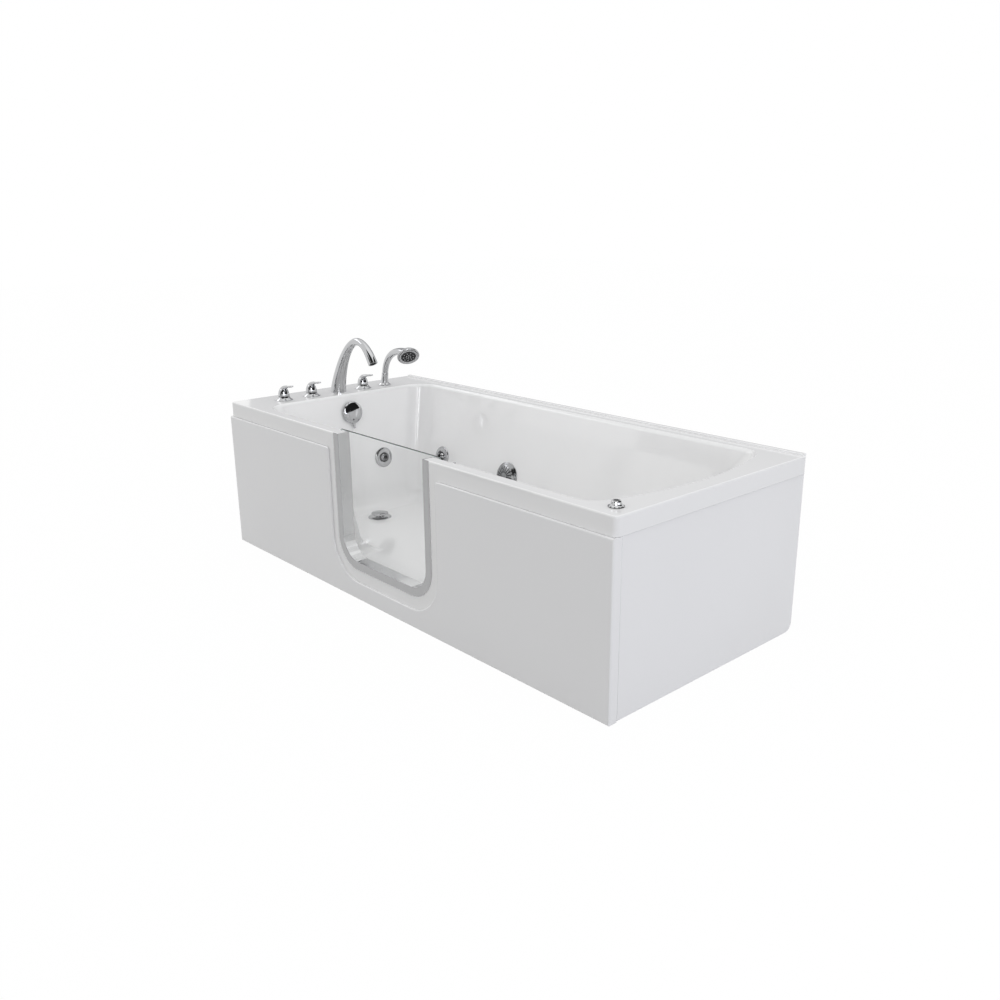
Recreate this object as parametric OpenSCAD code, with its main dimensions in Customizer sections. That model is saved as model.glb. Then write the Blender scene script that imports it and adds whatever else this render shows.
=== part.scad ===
// Walk-in bathtub: an acrylic basin with water jets on a steel frame, entered through a low
// glass door that swings inward, with a five-piece deck tap set and a cable-free pop-up waste.
// +X runs from the tap end to the backrest end, -Y is the door side, +Z is up.
// The origin is on the floor under the middle of the whole tub.

/* [Rim and panels] */
// Length of the rim
tub_l = 1830; // [1700:10:1900]
// Depth of the rim from front to back
tub_w = 790; // [770:5:850]
// Height of the rim's top above the floor
rim_h = 525; // [500:5:580]
// Height of the band round the rim's edge
band_h = 51; // [40:1:60]
// Thickness of the acrylic and glass-fibre shell
skin = 6; // [5:0.5:8]
// Corner radius of the rim in plan
rim_r = 15; // [8:1:25]
// Height of the tiling bead along the back edge
bead_h = 6; // [3:1:12]
// Thickness of the tiling bead
bead_t = 14; // [8:1:20]
// How far the front panel's field stands in front of the rim band
panel_proud = 7; // [5:1:10]
// Thickness of the front and end panels
panel_t = 5; // [3:0.5:6]
// How far the end panel is set back behind the rim band
end_recess = 4; // [2:0.5:6]
// Width of the strip that the front panel turns round the corner
panel_return = 30; // [20:1:40]
// Gap under the panels
panel_gap = 2; // [1:1:10]
// Radius of the end panel's lower back corner
end_corner_r = 28; // [10:1:50]

/* [Basin] */
// Width of the deck that carries the taps
tap_deck = 175; // [170:5:200]
// Width of the front deck beside the door
front_deck = 45; // [43:1:60]
// Width of the back deck, tiling bead included
back_deck = 60; // [50:1:80]
// Width of the deck at the middle of the backrest end
head_deck = 59; // [55:1:90]
// Radius of the backrest end's bow in plan
head_bow_r = 950; // [700:10:1500]
// Height of the basin's floor above the ground
floor_h = 86; // [84:1:110]
// Lean of the long walls from upright, in degrees
side_lean = 12; // [8:1:14]
// Lean of the wall below the taps, in degrees
foot_lean = 8; // [6:1:10]
// Lean of the backrest, in degrees
head_lean = 37; // [28:1:38]
// Radius of the cove at the tap end and along the walls
cove_r = 70; // [50:5:90]
// Radius of the cove below the backrest
head_cove_r = 110; // [80:5:130]
// Corner radius of the basin's mouth at the tap end
mouth_r = 80; // [60:5:100]
// Corner radius of the basin's mouth at the backrest end
head_mouth_r = 60; // [40:5:80]
// Depth and width of the flare where the walls roll over into the deck
lip_roll = 6; // [3:1:6]

/* [Door] */
// Half of the clear width between the door frame's sides
door_half = 211; // [180:1:220]
// Height of the sill above the ground
sill_h = 127; // [118:1:160]
// Width of the frame's polished front face
frame_face = 27; // [20:1:32]
// Thickness of the frame's front face
frame_face_t = 2.5; // [1.5:0.5:3]
// Wall of the frame's tunnel through the shell
frame_wall = 3; // [2:0.5:3]
// Corner radius of the clear opening
door_r = 73; // [60:1:90]
// Thickness of the door glass
glass_t = 8; // [6:1:10]
// Cover of the glass past the opening on the latch side
glass_cover = 27; // [24:1:30]
// Cover of the glass past the opening on the hinge side
glass_hinge_cover = 53; // [50:1:56]
// Half of the width of the flat bay that the door closes against
bay_half = 305; // [300:1:320]
// Thickness of the front deck at the bay, from the band's face to the bay's wall
bay_wall = 37; // [35:0.5:42]
// Margin of the bare band round the door frame
surround_margin = 29; // [20:1:36]
// Radius of the front panel's cut-out
surround_r = 130; // [105:1:135]

/* [Frame and feet] */
// Width of the steel base tubes
base_tube = 30; // [25:1:32]
// Width of the steel posts and top rails
post_tube = 25; // [20:1:25]
// Wall of the steel tubes
tube_wall = 2; // [1.5:0.5:3]
// Height of the base tubes' underside above the ground
foot_room = 32; // [30:1:45]
// Radius of a foot's pad
pad_r = 18; // [14:1:18]
// Thickness of a foot's pad
pad_t = 11; // [8:1:14]
// Radius of a foot's threaded stud
stud_r = 6; // [4:0.5:7]

/* [Taps] */
// Distance of the tap row from the tub's end
tap_inset = 103; // [98:1:110]
// Distance from the hot tap to the basin's middle line
hot_off = 230; // [215:1:240]
// Distance from the cold tap to the basin's middle line
cold_off = 116; // [110:1:120]
// Distance from the diverter to the basin's middle line
diverter_off = 111; // [105:1:118]
// Distance from the hand shower to the basin's middle line
shower_off = 211; // [200:1:230]
// Radius of a tap's bell-shaped cover plate
cover_r = 32; // [28:1:34]
// Reach of a tap lever from its axis
lever_l = 74; // [60:1:80]
// Reach of the spout's outlet from its base
spout_reach = 238; // [200:1:260]
// Height of the spout's outlet above the deck
spout_drop = 130; // [110:1:150]
// Radius of the spout at its foot
spout_r = 30; // [26:1:33]
// Lean of the hand shower's holder, in degrees
holder_lean = 10; // [0:1:14]
// Radius of the hand shower's head
head_r = 40; // [36:1:48]

/* [Waste and jets] */
// Distance of the drain from the tub's tap end
drain_inset = 343; // [325:1:375]
// Radius of the drain's flange
drain_r = 43; // [38:1:46]
// Lift of the drain's stopper above its closed height
stopper_lift = 8; // [5:1:10]
// Depth of the overflow below the rim's top
overflow_drop = 68; // [63:1:85]
// Radius of the overflow's knob
overflow_r = 41; // [34:1:42]
// Outside radius of the waste pipes
waste_r = 20; // [16:1:20]
// Height of the jets above the ground
jet_z = 268; // [250:1:300]
// Radius of a jet's cover ring
jet_r = 38; // [32:1:42]
// Radius of a jet's swivelling eyeball
ball_r = 16; // [12:0.5:16]
// Radius of the suction cover
suction_r = 52; // [46:1:56]
// Radius of the jets' water pipe
pipe_r = 16; // [12:1:16]
// Radius of the air control's knob
knob_r = 20; // [16:1:24]

/* [Hidden] */

// General
eps = 0.01;             // overlap that makes cuts go through
seat = 0.3;             // gap between pieces that only rest or brush against each other
run = 0.05;             // radial clearance of a shaft that turns in its hole
smooth = 64;            // facets used to draw round pieces
coarse = 32;            // facets used inside hulls
light = 20;             // facets used inside small hulls
acrylic = "whitesmoke";
chrome = "gainsboro";
steel = "silver";
plastic = "dimgray";
pvc = "white";

// Rim and basin
mid_y = panel_proud / 2;                     // the rim's middle line, so the whole tub is centred
rim_x = tub_l / 2;
rim_y = tub_w / 2;
band_z = rim_h - band_h;
deck_z = rim_h - skin;
roll_z = rim_h - 2 * lip_roll;               // height at which the walls begin to roll over
foot_x = -rim_x + tap_deck;                  // the basin's mouth
head_x = rim_x - head_deck;
mouth_front = -rim_y + front_deck;
mouth_back = rim_y - back_deck;
basin_y = (mouth_front + mouth_back) / 2;
basin_half = (mouth_back - mouth_front) / 2;

// Distance from the mouth's edge in to a cove's centre, for a wall of the given lean
function cove_inset(r, lean) =
  (r + (roll_z - floor_h - r) * sin(lean)) / cos(lean);
foot_cove_x = foot_x + cove_inset(cove_r, foot_lean);
foot_cove_y = basin_half - cove_inset(cove_r, side_lean);
head_cove_x = head_x - cove_inset(head_cove_r, head_lean);
head_cove_y = basin_half - cove_inset(head_cove_r, side_lean);
bow_r = head_bow_r - head_mouth_r;
bow_x = head_x - head_bow_r;
bow_end = asin((basin_half - head_mouth_r) / bow_r);

// Where the walls' inner faces are at height z
function foot_wall_x(z) = foot_x + (roll_z - z) * tan(foot_lean);
function back_wall_y(z) = mouth_back - (roll_z - z) * tan(side_lean);
function front_wall_y(z) = mouth_front + (roll_z - z) * tan(side_lean);

// Door
door_face_y = -rim_y;                        // front face of the band that the frame lies on
bay_y = -rim_y + bay_wall;                   // the wall that the door closes against
clamp_t = 2.5;
seal_t = 2.2;
glass_y = bay_y + clamp_t + seal_t + seat;   // outer face of the glass
glass_in_y = glass_y + glass_t;
glass_left = -door_half - glass_hinge_cover;
glass_right = door_half + glass_cover;
glass_low = sill_h - 23;
glass_r = 80;
frame_out = door_half + frame_face;
hinge_x = glass_left - 13;
hinge_y = glass_in_y + 4;
hinge_zs = [glass_low + 86, rim_h - 75];
knuckle_r = 7;
hinge_pin_r = 3.5;
leaf_t = 5;
latch_x = glass_right + 28;
latch_z = rim_h - 60;
latch_pin_r = 4;
surround_half = frame_out + surround_margin;
surround_z = sill_h - frame_face - surround_margin - 11;

// Frame
base_z = foot_room + base_tube;              // top of the base tubes
base_out_y = rim_y - 10;                     // outer faces of the base rails
base_out_x = rim_x - 15;
rail_y = base_out_y - base_tube / 2;
post_y = base_out_y - post_tube / 2;
post_x = base_out_x - post_tube / 2;
mid_post_x = bay_half + skin + 14 + post_tube / 2;
foot_xs = [-rim_x + 105, 0, rim_x - 105];
drain_x = -rim_x + drain_inset;
board_x0 = drain_x - 68;
board_x1 = head_cove_x;

// Taps
tap_x = -rim_x + tap_inset;
hot_y = basin_y - hot_off;
cold_y = basin_y - cold_off;
diverter_y = basin_y + diverter_off;
shower_y = basin_y + shower_off;
cover_h = 14;
neck_r = 11;
stem_r = 6;
valve_r = 17;
valve_low = deck_z - 79;
tap_pipe_z = deck_z - 60;
tap_pipe_r = 8;
boss_l = 24;
supply_low = 130;
holder_h = 45;
nut_r = 9;
collar_h = 5;

// Waste
overflow_z = rim_h - overflow_drop;
waste_z = foot_room + 18;
overflow_pipe_x = foot_x - 25;
spindle_r = 5;
throat_r = 22;

// Jets and pump
jet_hole_r = 24;
socket_h = 66;
riser_r = 12;
riser_z = jet_z - 48;
air_r = 7;
air_neck_r = 8;
air_z = jet_z + 112;
air_drop_z = jet_z + 34;
air_back_y = back_wall_y(jet_z) + 60;
air_front_y = 2 * basin_y - air_back_y;
air_jet_x = foot_wall_x(jet_z) - 58.5;
air_foot_x = air_jet_x - 31;
foot_jet_ys = [basin_y - 120, basin_y + 120];
side_jet_x = drain_x + 12;
suction_x = drain_x + 382;
suction_z = jet_z - 6;
suction_elbow = 57;
suction_line_y = back_wall_y(suction_z) + suction_elbow * cos(side_lean);
suction_line_z = suction_z - suction_elbow * sin(side_lean);
suction_line_r = 20;
main_z = base_z + pipe_r + 17;
main_back_y = back_wall_y(jet_z) + 47;
main_front_y = 2 * basin_y - main_back_y;
main_foot_x = foot_wall_x(jet_z) - 20.5;
motor_r = 65;
motor_z = base_z + 4 + 6 + motor_r + 10;
volute_r = 75;
pump_room = 20;                              // gap between the volute and the backrest's shell
pump_x = head_x - (roll_z - motor_z) * tan(head_lean)
         + (skin + volute_r + pump_room) / cos(head_lean);
pump_y = 0;
bar_xs = [-base_out_x + base_tube / 2, drain_x + 142, -60, 310, pump_x - 107, pump_x + 93,
          base_out_x - base_tube / 2];
impeller_r = 50;
shaft_r = 7;
port_x = pump_x - volute_r - 15;
knob_x = rim_x - 53;
knob_y = -rim_y + 59;
valve_h = 60;

// The rim's middle line is set back by half of what the front panel stands proud
module in_place() {
  translate([0, mid_y, 0]) children();
}

// Turns a piece's +Z into the direction that a wall faces, at height z on that wall
module on_foot_wall(y, z) {
  translate([foot_wall_x(z), y, z]) rotate([0, 90 - foot_lean, 0]) children();
}
module on_back_wall(x, z) {
  translate([x, back_wall_y(z), z]) rotate([90 - side_lean, 0, 0]) children();
}
module on_front_wall(x, z) {
  translate([x, front_wall_y(z), z]) rotate([-(90 - side_lean), 0, 0]) children();
}
// Where each jet's water boss and air boss stand, as [x, y, x, y]
jet_bosses = [
  [main_foot_x, foot_jet_ys[0], air_jet_x, foot_jet_ys[0]],
  [main_foot_x, foot_jet_ys[1], air_jet_x, foot_jet_ys[1]],
  [side_jet_x, main_back_y, side_jet_x, air_back_y],
  [side_jet_x, main_front_y, side_jet_x, air_front_y]
];
module at_each_jet() {
  for (y = foot_jet_ys) on_foot_wall(y, jet_z) children();
  on_back_wall(side_jet_x, jet_z) children();
  on_front_wall(side_jet_x, jet_z) children();
}

// Flat rounded rectangle between two corners, drawn with true arcs
module rounded(x0, y0, x1, y1, r) {
  translate([x0 + r, y0]) square([x1 - x0 - 2 * r, y1 - y0]);
  translate([x0, y0 + r]) square([x1 - x0, y1 - y0 - 2 * r]);
  for (x = [x0 + r, x1 - r], y = [y0 + r, y1 - r]) translate([x, y]) circle(r, $fn = smooth);
}

// Flat plate with square upper corners and rounded lower ones
module tongue(x0, x1, low, top, r_left, r_right) {
  translate([x0, low + r_left]) square([(x1 - x0) / 2, top - low - r_left]);
  translate([(x0 + x1) / 2, low + r_right]) square([(x1 - x0) / 2, top - low - r_right]);
  translate([x0 + r_left, low]) square([(x1 - x0) / 2 - r_left, r_left + eps]);
  translate([(x0 + x1) / 2, low]) square([(x1 - x0) / 2 - r_right, r_right + eps]);
  translate([x0 + r_left, low + r_left]) circle(r_left, $fn = smooth);
  translate([x1 - r_right, low + r_right]) circle(r_right, $fn = smooth);
}

// The door's outline grown by g, as a flat U with an open top
module door_outline(g, top) {
  tongue(-door_half - g, door_half + g, sill_h - g, top, door_r + g, door_r + g);
}

// Stands a flat outline upright, from y0 to y1
module upright(y0, y1) {
  translate([0, y1, 0]) rotate([90, 0, 0]) linear_extrude(y1 - y0) children();
}

module box(x0, x1, y0, y1, z0, z1) {
  translate([x0, y0, z0]) cube([x1 - x0, y1 - y0, z1 - z0]);
}

// Square steel tube along X between x0 and x1
module tube_x(x0, x1, y, z, w) {
  difference() {
    box(x0, x1, y - w / 2, y + w / 2, z - w / 2, z + w / 2);
    box(x0 - 1, x1 + 1, y - w / 2 + tube_wall, y + w / 2 - tube_wall,
        z - w / 2 + tube_wall, z + w / 2 - tube_wall);
  }
}
module tube_y(x, y0, y1, z, w) {
  difference() {
    box(x - w / 2, x + w / 2, y0, y1, z - w / 2, z + w / 2);
    box(x - w / 2 + tube_wall, x + w / 2 - tube_wall, y0 - 1, y1 + 1,
        z - w / 2 + tube_wall, z + w / 2 - tube_wall);
  }
}

// Water-filled pipe through a list of points, with a wider bend at each corner
function bend_r(r) = r + 8;
module pipe_run(points, r) {
  last = len(points) - 1;
  for (i = [0 : last - 1]) {
    u = (points[i + 1] - points[i]) / norm(points[i + 1] - points[i]);
    a = points[i] + u * (i > 0 ? bend_r(r) - 3 : 0);
    b = points[i + 1] - u * (i < last - 1 ? bend_r(r) - 3 : 0);
    translate(a) rotate([0, acos(u.z), atan2(u.y, u.x)])
      cylinder(r = r, h = norm(b - a), $fn = smooth);
    if (i < last - 1) pipe_bend(points[i + 1], u, points[i + 2], r);
  }
}

// Quarter bend at a corner that is entered along u and left towards a point
module pipe_bend(at, u, to, r) {
  v = (to - at) / norm(to - at);
  w = cross(u, v);
  c = at + (v - u) * bend_r(r);
  multmatrix([[-v.x, u.x, w.x, c.x], [-v.y, u.y, w.y, c.y], [-v.z, u.z, w.z, c.z], [0, 0, 0, 1]])
    rotate_extrude(angle = 90, $fn = smooth) translate([bend_r(r), 0]) circle(r + 2, $fn = smooth);
}

// Ring turned from a radial profile of [r, z] points
module turned(profile) {
  rotate_extrude($fn = smooth) polygon(profile);
}

// Cubic curve and its slope
function curve(p, t) = pow(1 - t, 3) * p[0] + 3 * pow(1 - t, 2) * t * p[1]
                     + 3 * (1 - t) * t * t * p[2] + pow(t, 3) * p[3];
function slope(p, t) = 3 * pow(1 - t, 2) * (p[1] - p[0]) + 6 * (1 - t) * t * (p[2] - p[1])
                     + 3 * t * t * (p[3] - p[2]);
function mix(a, b, t) = a + (b - a) * t;
function ease(t) = t * t * (3 - 2 * t);

// Round bar that follows a curve in the XZ plane; wide(t) and deep(t) come as lists of radii.
// A flat one starts on level ground however its path leans.
module swept(path, wide, deep, sides, flat = false) {
  steps = len(wide) - 1;
  points = [
    for (i = [0 : steps])
      let (c = curve(path, i / steps), s = slope(path, i / steps),
           n = flat && i == 0 ? [1, 0] : [s.y, -s.x] / norm(s))
      for (j = [0 : sides - 1])
        let (a = 360 * j / sides)
        [c.x + n.x * deep[i] * cos(a), wide[i] * sin(a), c.y + n.y * deep[i] * cos(a)]
  ];
  last = steps * sides;
  faces = concat(
    [[for (j = [0 : sides - 1]) j]],
    [[for (j = [sides - 1 : -1 : 0]) last + j]],
    [for (i = [0 : steps - 1], j = [0 : sides - 1])
      let (k = (j + 1) % sides)
      [i * sides + j, (i + 1) * sides + j, (i + 1) * sides + k, i * sides + k]]
  );
  polyhedron(points, faces, convexity = 4);
}

// ---------------------------------------------------------------- shell

// Thin discs at the mouth's corners and along its bowed end
module mouth_discs(g, z, h) {
  for (y = [-1, 1])
    translate([foot_x + mouth_r, basin_y + y * (basin_half - mouth_r), z])
      cylinder(r = mouth_r + g, h = h, $fn = coarse);
  for (i = [-3 : 3])
    translate([bow_x + bow_r * cos(i * bow_end / 3), basin_y + bow_r * sin(i * bow_end / 3), z])
      cylinder(r = head_mouth_r + g, h = h, $fn = coarse);
}

// Ball that rounds a lower corner of the basin, with a flat underneath for the floor
module cove_ball(r, g) {
  translate([0, 0, r]) sphere(r + g, $fn = coarse);
  translate([0, 0, -g]) cylinder(r = 6, h = 1, $fn = coarse);
}

// The basin's form grown by g, from its floor up to height top
module basin_form(g, top) {
  hull() {
    mouth_discs(g, roll_z, top - roll_z);
    for (y = [-1, 1]) {
      translate([foot_cove_x, basin_y + y * foot_cove_y, floor_h]) cove_ball(cove_r, g);
      translate([head_cove_x, basin_y + y * head_cove_y, floor_h]) cove_ball(head_cove_r, g);
    }
  }
}

// Where the walls roll over into the deck
module mouth_flare() {
  hull() {
    mouth_discs(0, roll_z, eps);
    mouth_discs(lip_roll, rim_h, eps);
  }
}

// Flat bay that the door closes against, grown by g
module door_bay(g, top) {
  upright(bay_y - g, front_wall_y(floor_h) + cove_r)
    tongue(-bay_half - g, bay_half + g, floor_h - g, top, 50 + g, 50 + g);
}

module tub_shell() {
  color(acrylic) in_place() difference() {
    union() {
      translate([0, 0, deck_z]) linear_extrude(skin)
        rounded(-rim_x, -rim_y, rim_x, rim_y, rim_r);
      translate([0, 0, band_z]) linear_extrude(band_h) difference() {
        rounded(-rim_x, -rim_y, rim_x, rim_y, rim_r);
        rounded(-rim_x + skin, -rim_y + skin, rim_x - skin, rim_y - skin, rim_r - skin);
      }
      box(-rim_x + rim_r, rim_x - rim_r / 3, rim_y - bead_t, rim_y, rim_h - 1, rim_h + bead_h);
      basin_form(skin, deck_z);
      door_bay(skin, deck_z);
      upright(-rim_y, -rim_y + skin)
        tongue(-surround_half - 20, surround_half + 20, surround_z - 16, band_z + 1, 90, 90);
    }
    basin_form(0, roll_z + eps);
    mouth_flare();
    translate([0, 0, rim_h]) mouth_discs(lip_roll, 0, bead_h + 1);
    door_bay(0, rim_h + 1);
    upright(-rim_y - 1, bay_y + 1) door_outline(frame_wall + 1, rim_h + 1);
    translate([drain_x, basin_y, floor_h - skin - 1])
      cylinder(r = throat_r + 2, h = skin + 2, $fn = smooth);
    on_foot_wall(basin_y, overflow_z) translate([0, 0, -skin - 2])
      cylinder(r = 20, h = skin + 4, $fn = smooth);
    at_each_jet() translate([0, 0, -skin - 2]) cylinder(r = jet_hole_r, h = skin + 4, $fn = smooth);
    on_back_wall(suction_x, suction_z) translate([0, 0, -skin - 2])
      cylinder(r = 30, h = skin + 4, $fn = smooth);
    for (y = [hot_y, cold_y, basin_y, diverter_y, shower_y])
      translate([tap_x, y, deck_z - 1]) cylinder(r = neck_r + 1.5, h = skin + 2, $fn = smooth);
    translate([knob_x, knob_y, deck_z - 1])
      cylinder(r = air_neck_r + 1, h = skin + 2, $fn = smooth);
  }
}

// ---------------------------------------------------------------- panels and frame

// The door cut-out in the front panel, grown by g
module panel_cutout(g) {
  tongue(-surround_half - g, surround_half + g, surround_z - g, band_z + 1,
         surround_r + g, surround_r + g);
}

module front_panel() {
  top = band_z - seat;
  out_y = -rim_y - panel_proud;
  end_x = rim_x - 0.5;
  color(acrylic) in_place() difference() {
    union() {
      difference() {
        box(-end_x, end_x, out_y, -rim_y + skin, panel_gap, top);
        box(-end_x + panel_t, end_x - panel_t, out_y + panel_t, -rim_y + skin + 1,
            panel_gap + panel_t, top - panel_t);
      }
      for (s = [-1, 1])
        box(min(s * end_x, s * (end_x - panel_t)), max(s * end_x, s * (end_x - panel_t)),
            out_y, out_y + panel_return, panel_gap, top);
      upright(out_y, -rim_y - seat) panel_cutout(panel_t);
    }
    upright(out_y - 1, -rim_y + skin + 1) panel_cutout(0);
    upright(-rim_y - seat, -rim_y + skin + 1) panel_cutout(21);
  }
}

module end_panel() {
  out_x = rim_x - end_recess;
  front = -rim_y - panel_proud + panel_return + 4;
  color(acrylic) in_place() {
    translate([out_x - panel_t, 0, 0]) rotate([90, 0, 90]) linear_extrude(panel_t)
      difference() {
        tongue(front, rim_y - end_recess, panel_gap, band_z - seat, 4, end_corner_r);
      }
    for (z = [120, 240, 360])
      box(out_x - panel_t - 3, out_x - panel_t, front + 60, rim_y - 60, z, z + 8);
  }
}

module base_board() {
  color("burlywood") in_place() difference() {
    box(board_x0, board_x1, basin_y - foot_cove_y, basin_y + foot_cove_y, base_z, floor_h - skin);
    translate([drain_x, basin_y, base_z - 1]) cylinder(r = 50, h = 40, $fn = smooth);
    box(board_x0 - 1, drain_x, basin_y - 50, basin_y + 50, base_z - 1, floor_h);
  }
}

module panel_brackets() {
  inner_y = -rim_y - panel_proud + panel_t;
  inner_x = rim_x - end_recess - panel_t;
  color(steel) in_place() {
    for (x = [-640, -335, 335, 640]) difference() {
      box(x - 25, x + 25, inner_y, -base_out_y, foot_room + 2, base_z - 2);
      box(x - 20, x + 20, inner_y + 3, -base_out_y - 3, foot_room + 1, base_z - 5);
    }
    for (y = [-220, 220]) difference() {
      box(base_out_x, inner_x, y - 25, y + 25, foot_room + 2, base_z - 2);
      translate([base_out_x - 1, y, (foot_room + base_z) / 2]) rotate([0, 90, 0])
        cylinder(r = 5, h = 20, $fn = smooth);
    }
  }
}

module base_rails() {
  color(plastic) in_place() for (s = [-1, 1]) difference() {
    tube_x(-base_out_x, base_out_x, s * rail_y, foot_room + base_tube / 2, base_tube);
    for (x = foot_xs) translate([x, s * rail_y, foot_room - 1])
      cylinder(r = stud_r + 0.6, h = tube_wall + 2, $fn = smooth);
    for (x = [-post_x, -mid_post_x, mid_post_x, post_x], d = [-1, 1])
      translate([x + d * bolt_step(x, d), s * rail_y, base_z - tube_wall - 1])
        cylinder(r = bolt_r + 0.1, h = tube_wall + 2, $fn = smooth);
  }
}

module cross_bars() {
  color(plastic) in_place() for (x = bar_xs)
    tube_y(x, -rail_y + base_tube / 2, rail_y - base_tube / 2, foot_room + base_tube / 2,
           base_tube);
}

// Bolts beside a post: corner posts have both on their inner side
bolt_r = 4;
plate_t = 4;
function bolt_step(x, d) =
  abs(x) > mid_post_x ? (x * d < 0 ? post_tube / 2 + 9 : -(post_tube / 2 + 27)) : post_tube / 2 + 9;
function plate_reach(x, d) = x * d > 0 && abs(x) > mid_post_x ? post_tube / 2
  : post_tube / 2 + (abs(x) > mid_post_x ? 36 : 18);

module frame_posts() {
  color(plastic) in_place()
    for (s = [-1, 1], x = [-post_x, -mid_post_x, mid_post_x, post_x]) {
      y = s * post_y;
      difference() {
        union() {
          box(x - post_tube / 2, x + post_tube / 2, y - post_tube / 2, y + post_tube / 2,
              base_z, deck_z - post_tube);
          box(x - plate_reach(x, -1), x + plate_reach(x, 1), s * rail_y - base_tube / 2,
              s * rail_y + base_tube / 2, base_z, base_z + plate_t);
        }
        box(x - post_tube / 2 + tube_wall, x + post_tube / 2 - tube_wall,
            y - post_tube / 2 + tube_wall, y + post_tube / 2 - tube_wall,
            base_z - 1, deck_z);
        for (d = [-1, 1])
          translate([x + d * bolt_step(x, d), s * rail_y, base_z - 1])
            cylinder(r = bolt_r + 0.1, h = plate_t + 2, $fn = smooth);
      }
    }
}

module frame_bolts() {
  color(steel) in_place()
    for (s = [-1, 1], x = [-post_x, -mid_post_x, mid_post_x, post_x], d = [-1, 1])
      translate([x + d * bolt_step(x, d), s * rail_y, base_z + plate_t]) {
        cylinder(r = 7.5, h = 5.3, $fn = 6);
        translate([0, 0, -plate_t - 12]) cylinder(r = bolt_r, h = plate_t + 12 + eps, $fn = smooth);
      }
}

module top_rails() {
  z = deck_z - post_tube / 2;
  inner = base_out_y - post_tube;
  color(plastic) in_place() {
    tube_x(-base_out_x, base_out_x, post_y, z, post_tube);
    tube_x(-base_out_x, -mid_post_x + post_tube / 2, -post_y, z, post_tube);
    tube_x(mid_post_x - post_tube / 2, base_out_x, -post_y, z, post_tube);
    tube_y(-post_x, -inner, inner, z, post_tube);
    tube_y(post_x, -inner, inner, z, post_tube);
  }
}

// Levelling foot: a moulded pad on a threaded stud with a grip hexagon
module foot(x, s) {
  color(plastic) in_place() translate([x, s * rail_y, 0]) {
    turned([[0, 0], [pad_r - 2, 0], [pad_r, 2], [pad_r, pad_t * 0.45], [pad_r - 5, pad_t],
            [0, pad_t]]);
    translate([0, 0, pad_t - eps]) cylinder(r = 9, h = 5, $fn = 6);
    cylinder(r = stud_r, h = base_z - tube_wall - 4, $fn = smooth);
  }
}
module foot_front_left() { foot(foot_xs[0], -1); }
module foot_front_middle() { foot(foot_xs[1], -1); }
module foot_front_right() { foot(foot_xs[2], -1); }
module foot_back_left() { foot(foot_xs[0], 1); }
module foot_back_middle() { foot(foot_xs[1], 1); }
module foot_back_right() { foot(foot_xs[2], 1); }

module foot_locknuts() {
  color(steel) in_place() for (x = foot_xs, s = [-1, 1])
    translate([x, s * rail_y, foot_room - 9]) difference() {
      cylinder(r = 11, h = 9, $fn = 6);
      translate([0, 0, -1]) cylinder(r = stud_r + run, h = 11, $fn = smooth);
    }
}

// ---------------------------------------------------------------- door

module door_frame() {
  color(steel) in_place() {
    upright(door_face_y - frame_face_t, door_face_y) difference() {
      door_outline(frame_face, rim_h);
      door_outline(0, rim_h + 1);
    }
    upright(door_face_y - frame_face_t, bay_y + clamp_t) difference() {
      door_outline(frame_wall, rim_h);
      door_outline(0, rim_h + 1);
    }
  }
}

module door_clamp_frame() {
  color(steel) in_place() upright(bay_y, bay_y + clamp_t) difference() {
    door_outline(frame_wall + 22, rim_h);
    door_outline(frame_wall + 0.2, rim_h + 1);
  }
}

module door_seal() {
  color("lightgray") in_place() upright(bay_y + clamp_t, glass_y - seat) difference() {
    door_outline(frame_wall + 15, rim_h);
    door_outline(frame_wall + 3, rim_h + 1);
  }
}

hinge_hole_x = glass_left + 12;
hinge_hole_dz = 14;
hinge_screw_r = 2.4;

module at_hinge_holes() {
  for (z = hinge_zs, d = [-1, 1])
    translate([hinge_hole_x, 0, z + d * hinge_hole_dz]) rotate([-90, 0, 0]) children();
}

module door_glass() {
  color("lightcyan", 0.35) in_place() difference() {
    upright(glass_y, glass_in_y)
      tongue(glass_left, glass_right, glass_low, rim_h, 20, glass_r);
    at_hinge_holes() translate([0, 0, glass_y - 1])
      cylinder(r = 4, h = glass_t + 2, $fn = smooth);
  }
}

module hinge_brackets() {
  color(steel) in_place() for (z = hinge_zs) difference() {
    union() {
      box(-bay_half + 2, hinge_x + knuckle_r - 1, bay_y, bay_y + 4, z - 28, z + 28);
      for (d = [-28, 13]) {
        translate([hinge_x, hinge_y, z + d]) cylinder(r = knuckle_r, h = 15, $fn = smooth);
        box(hinge_x - knuckle_r, hinge_x + knuckle_r - 1, bay_y, hinge_y, z + d, z + d + 15);
      }
    }
    translate([hinge_x, hinge_y, z - 29])
      cylinder(r = hinge_pin_r + run, h = 58, $fn = smooth);
  }
}

module hinge_pins() {
  color(chrome) in_place() for (z = hinge_zs) translate([hinge_x, hinge_y, 0]) {
    translate([0, 0, z - 28]) cylinder(r = hinge_pin_r, h = 56 + eps, $fn = smooth);
    for (d = [-30, 28]) translate([0, 0, z + d]) cylinder(r = 5.5, h = 2, $fn = smooth);
  }
}

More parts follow.
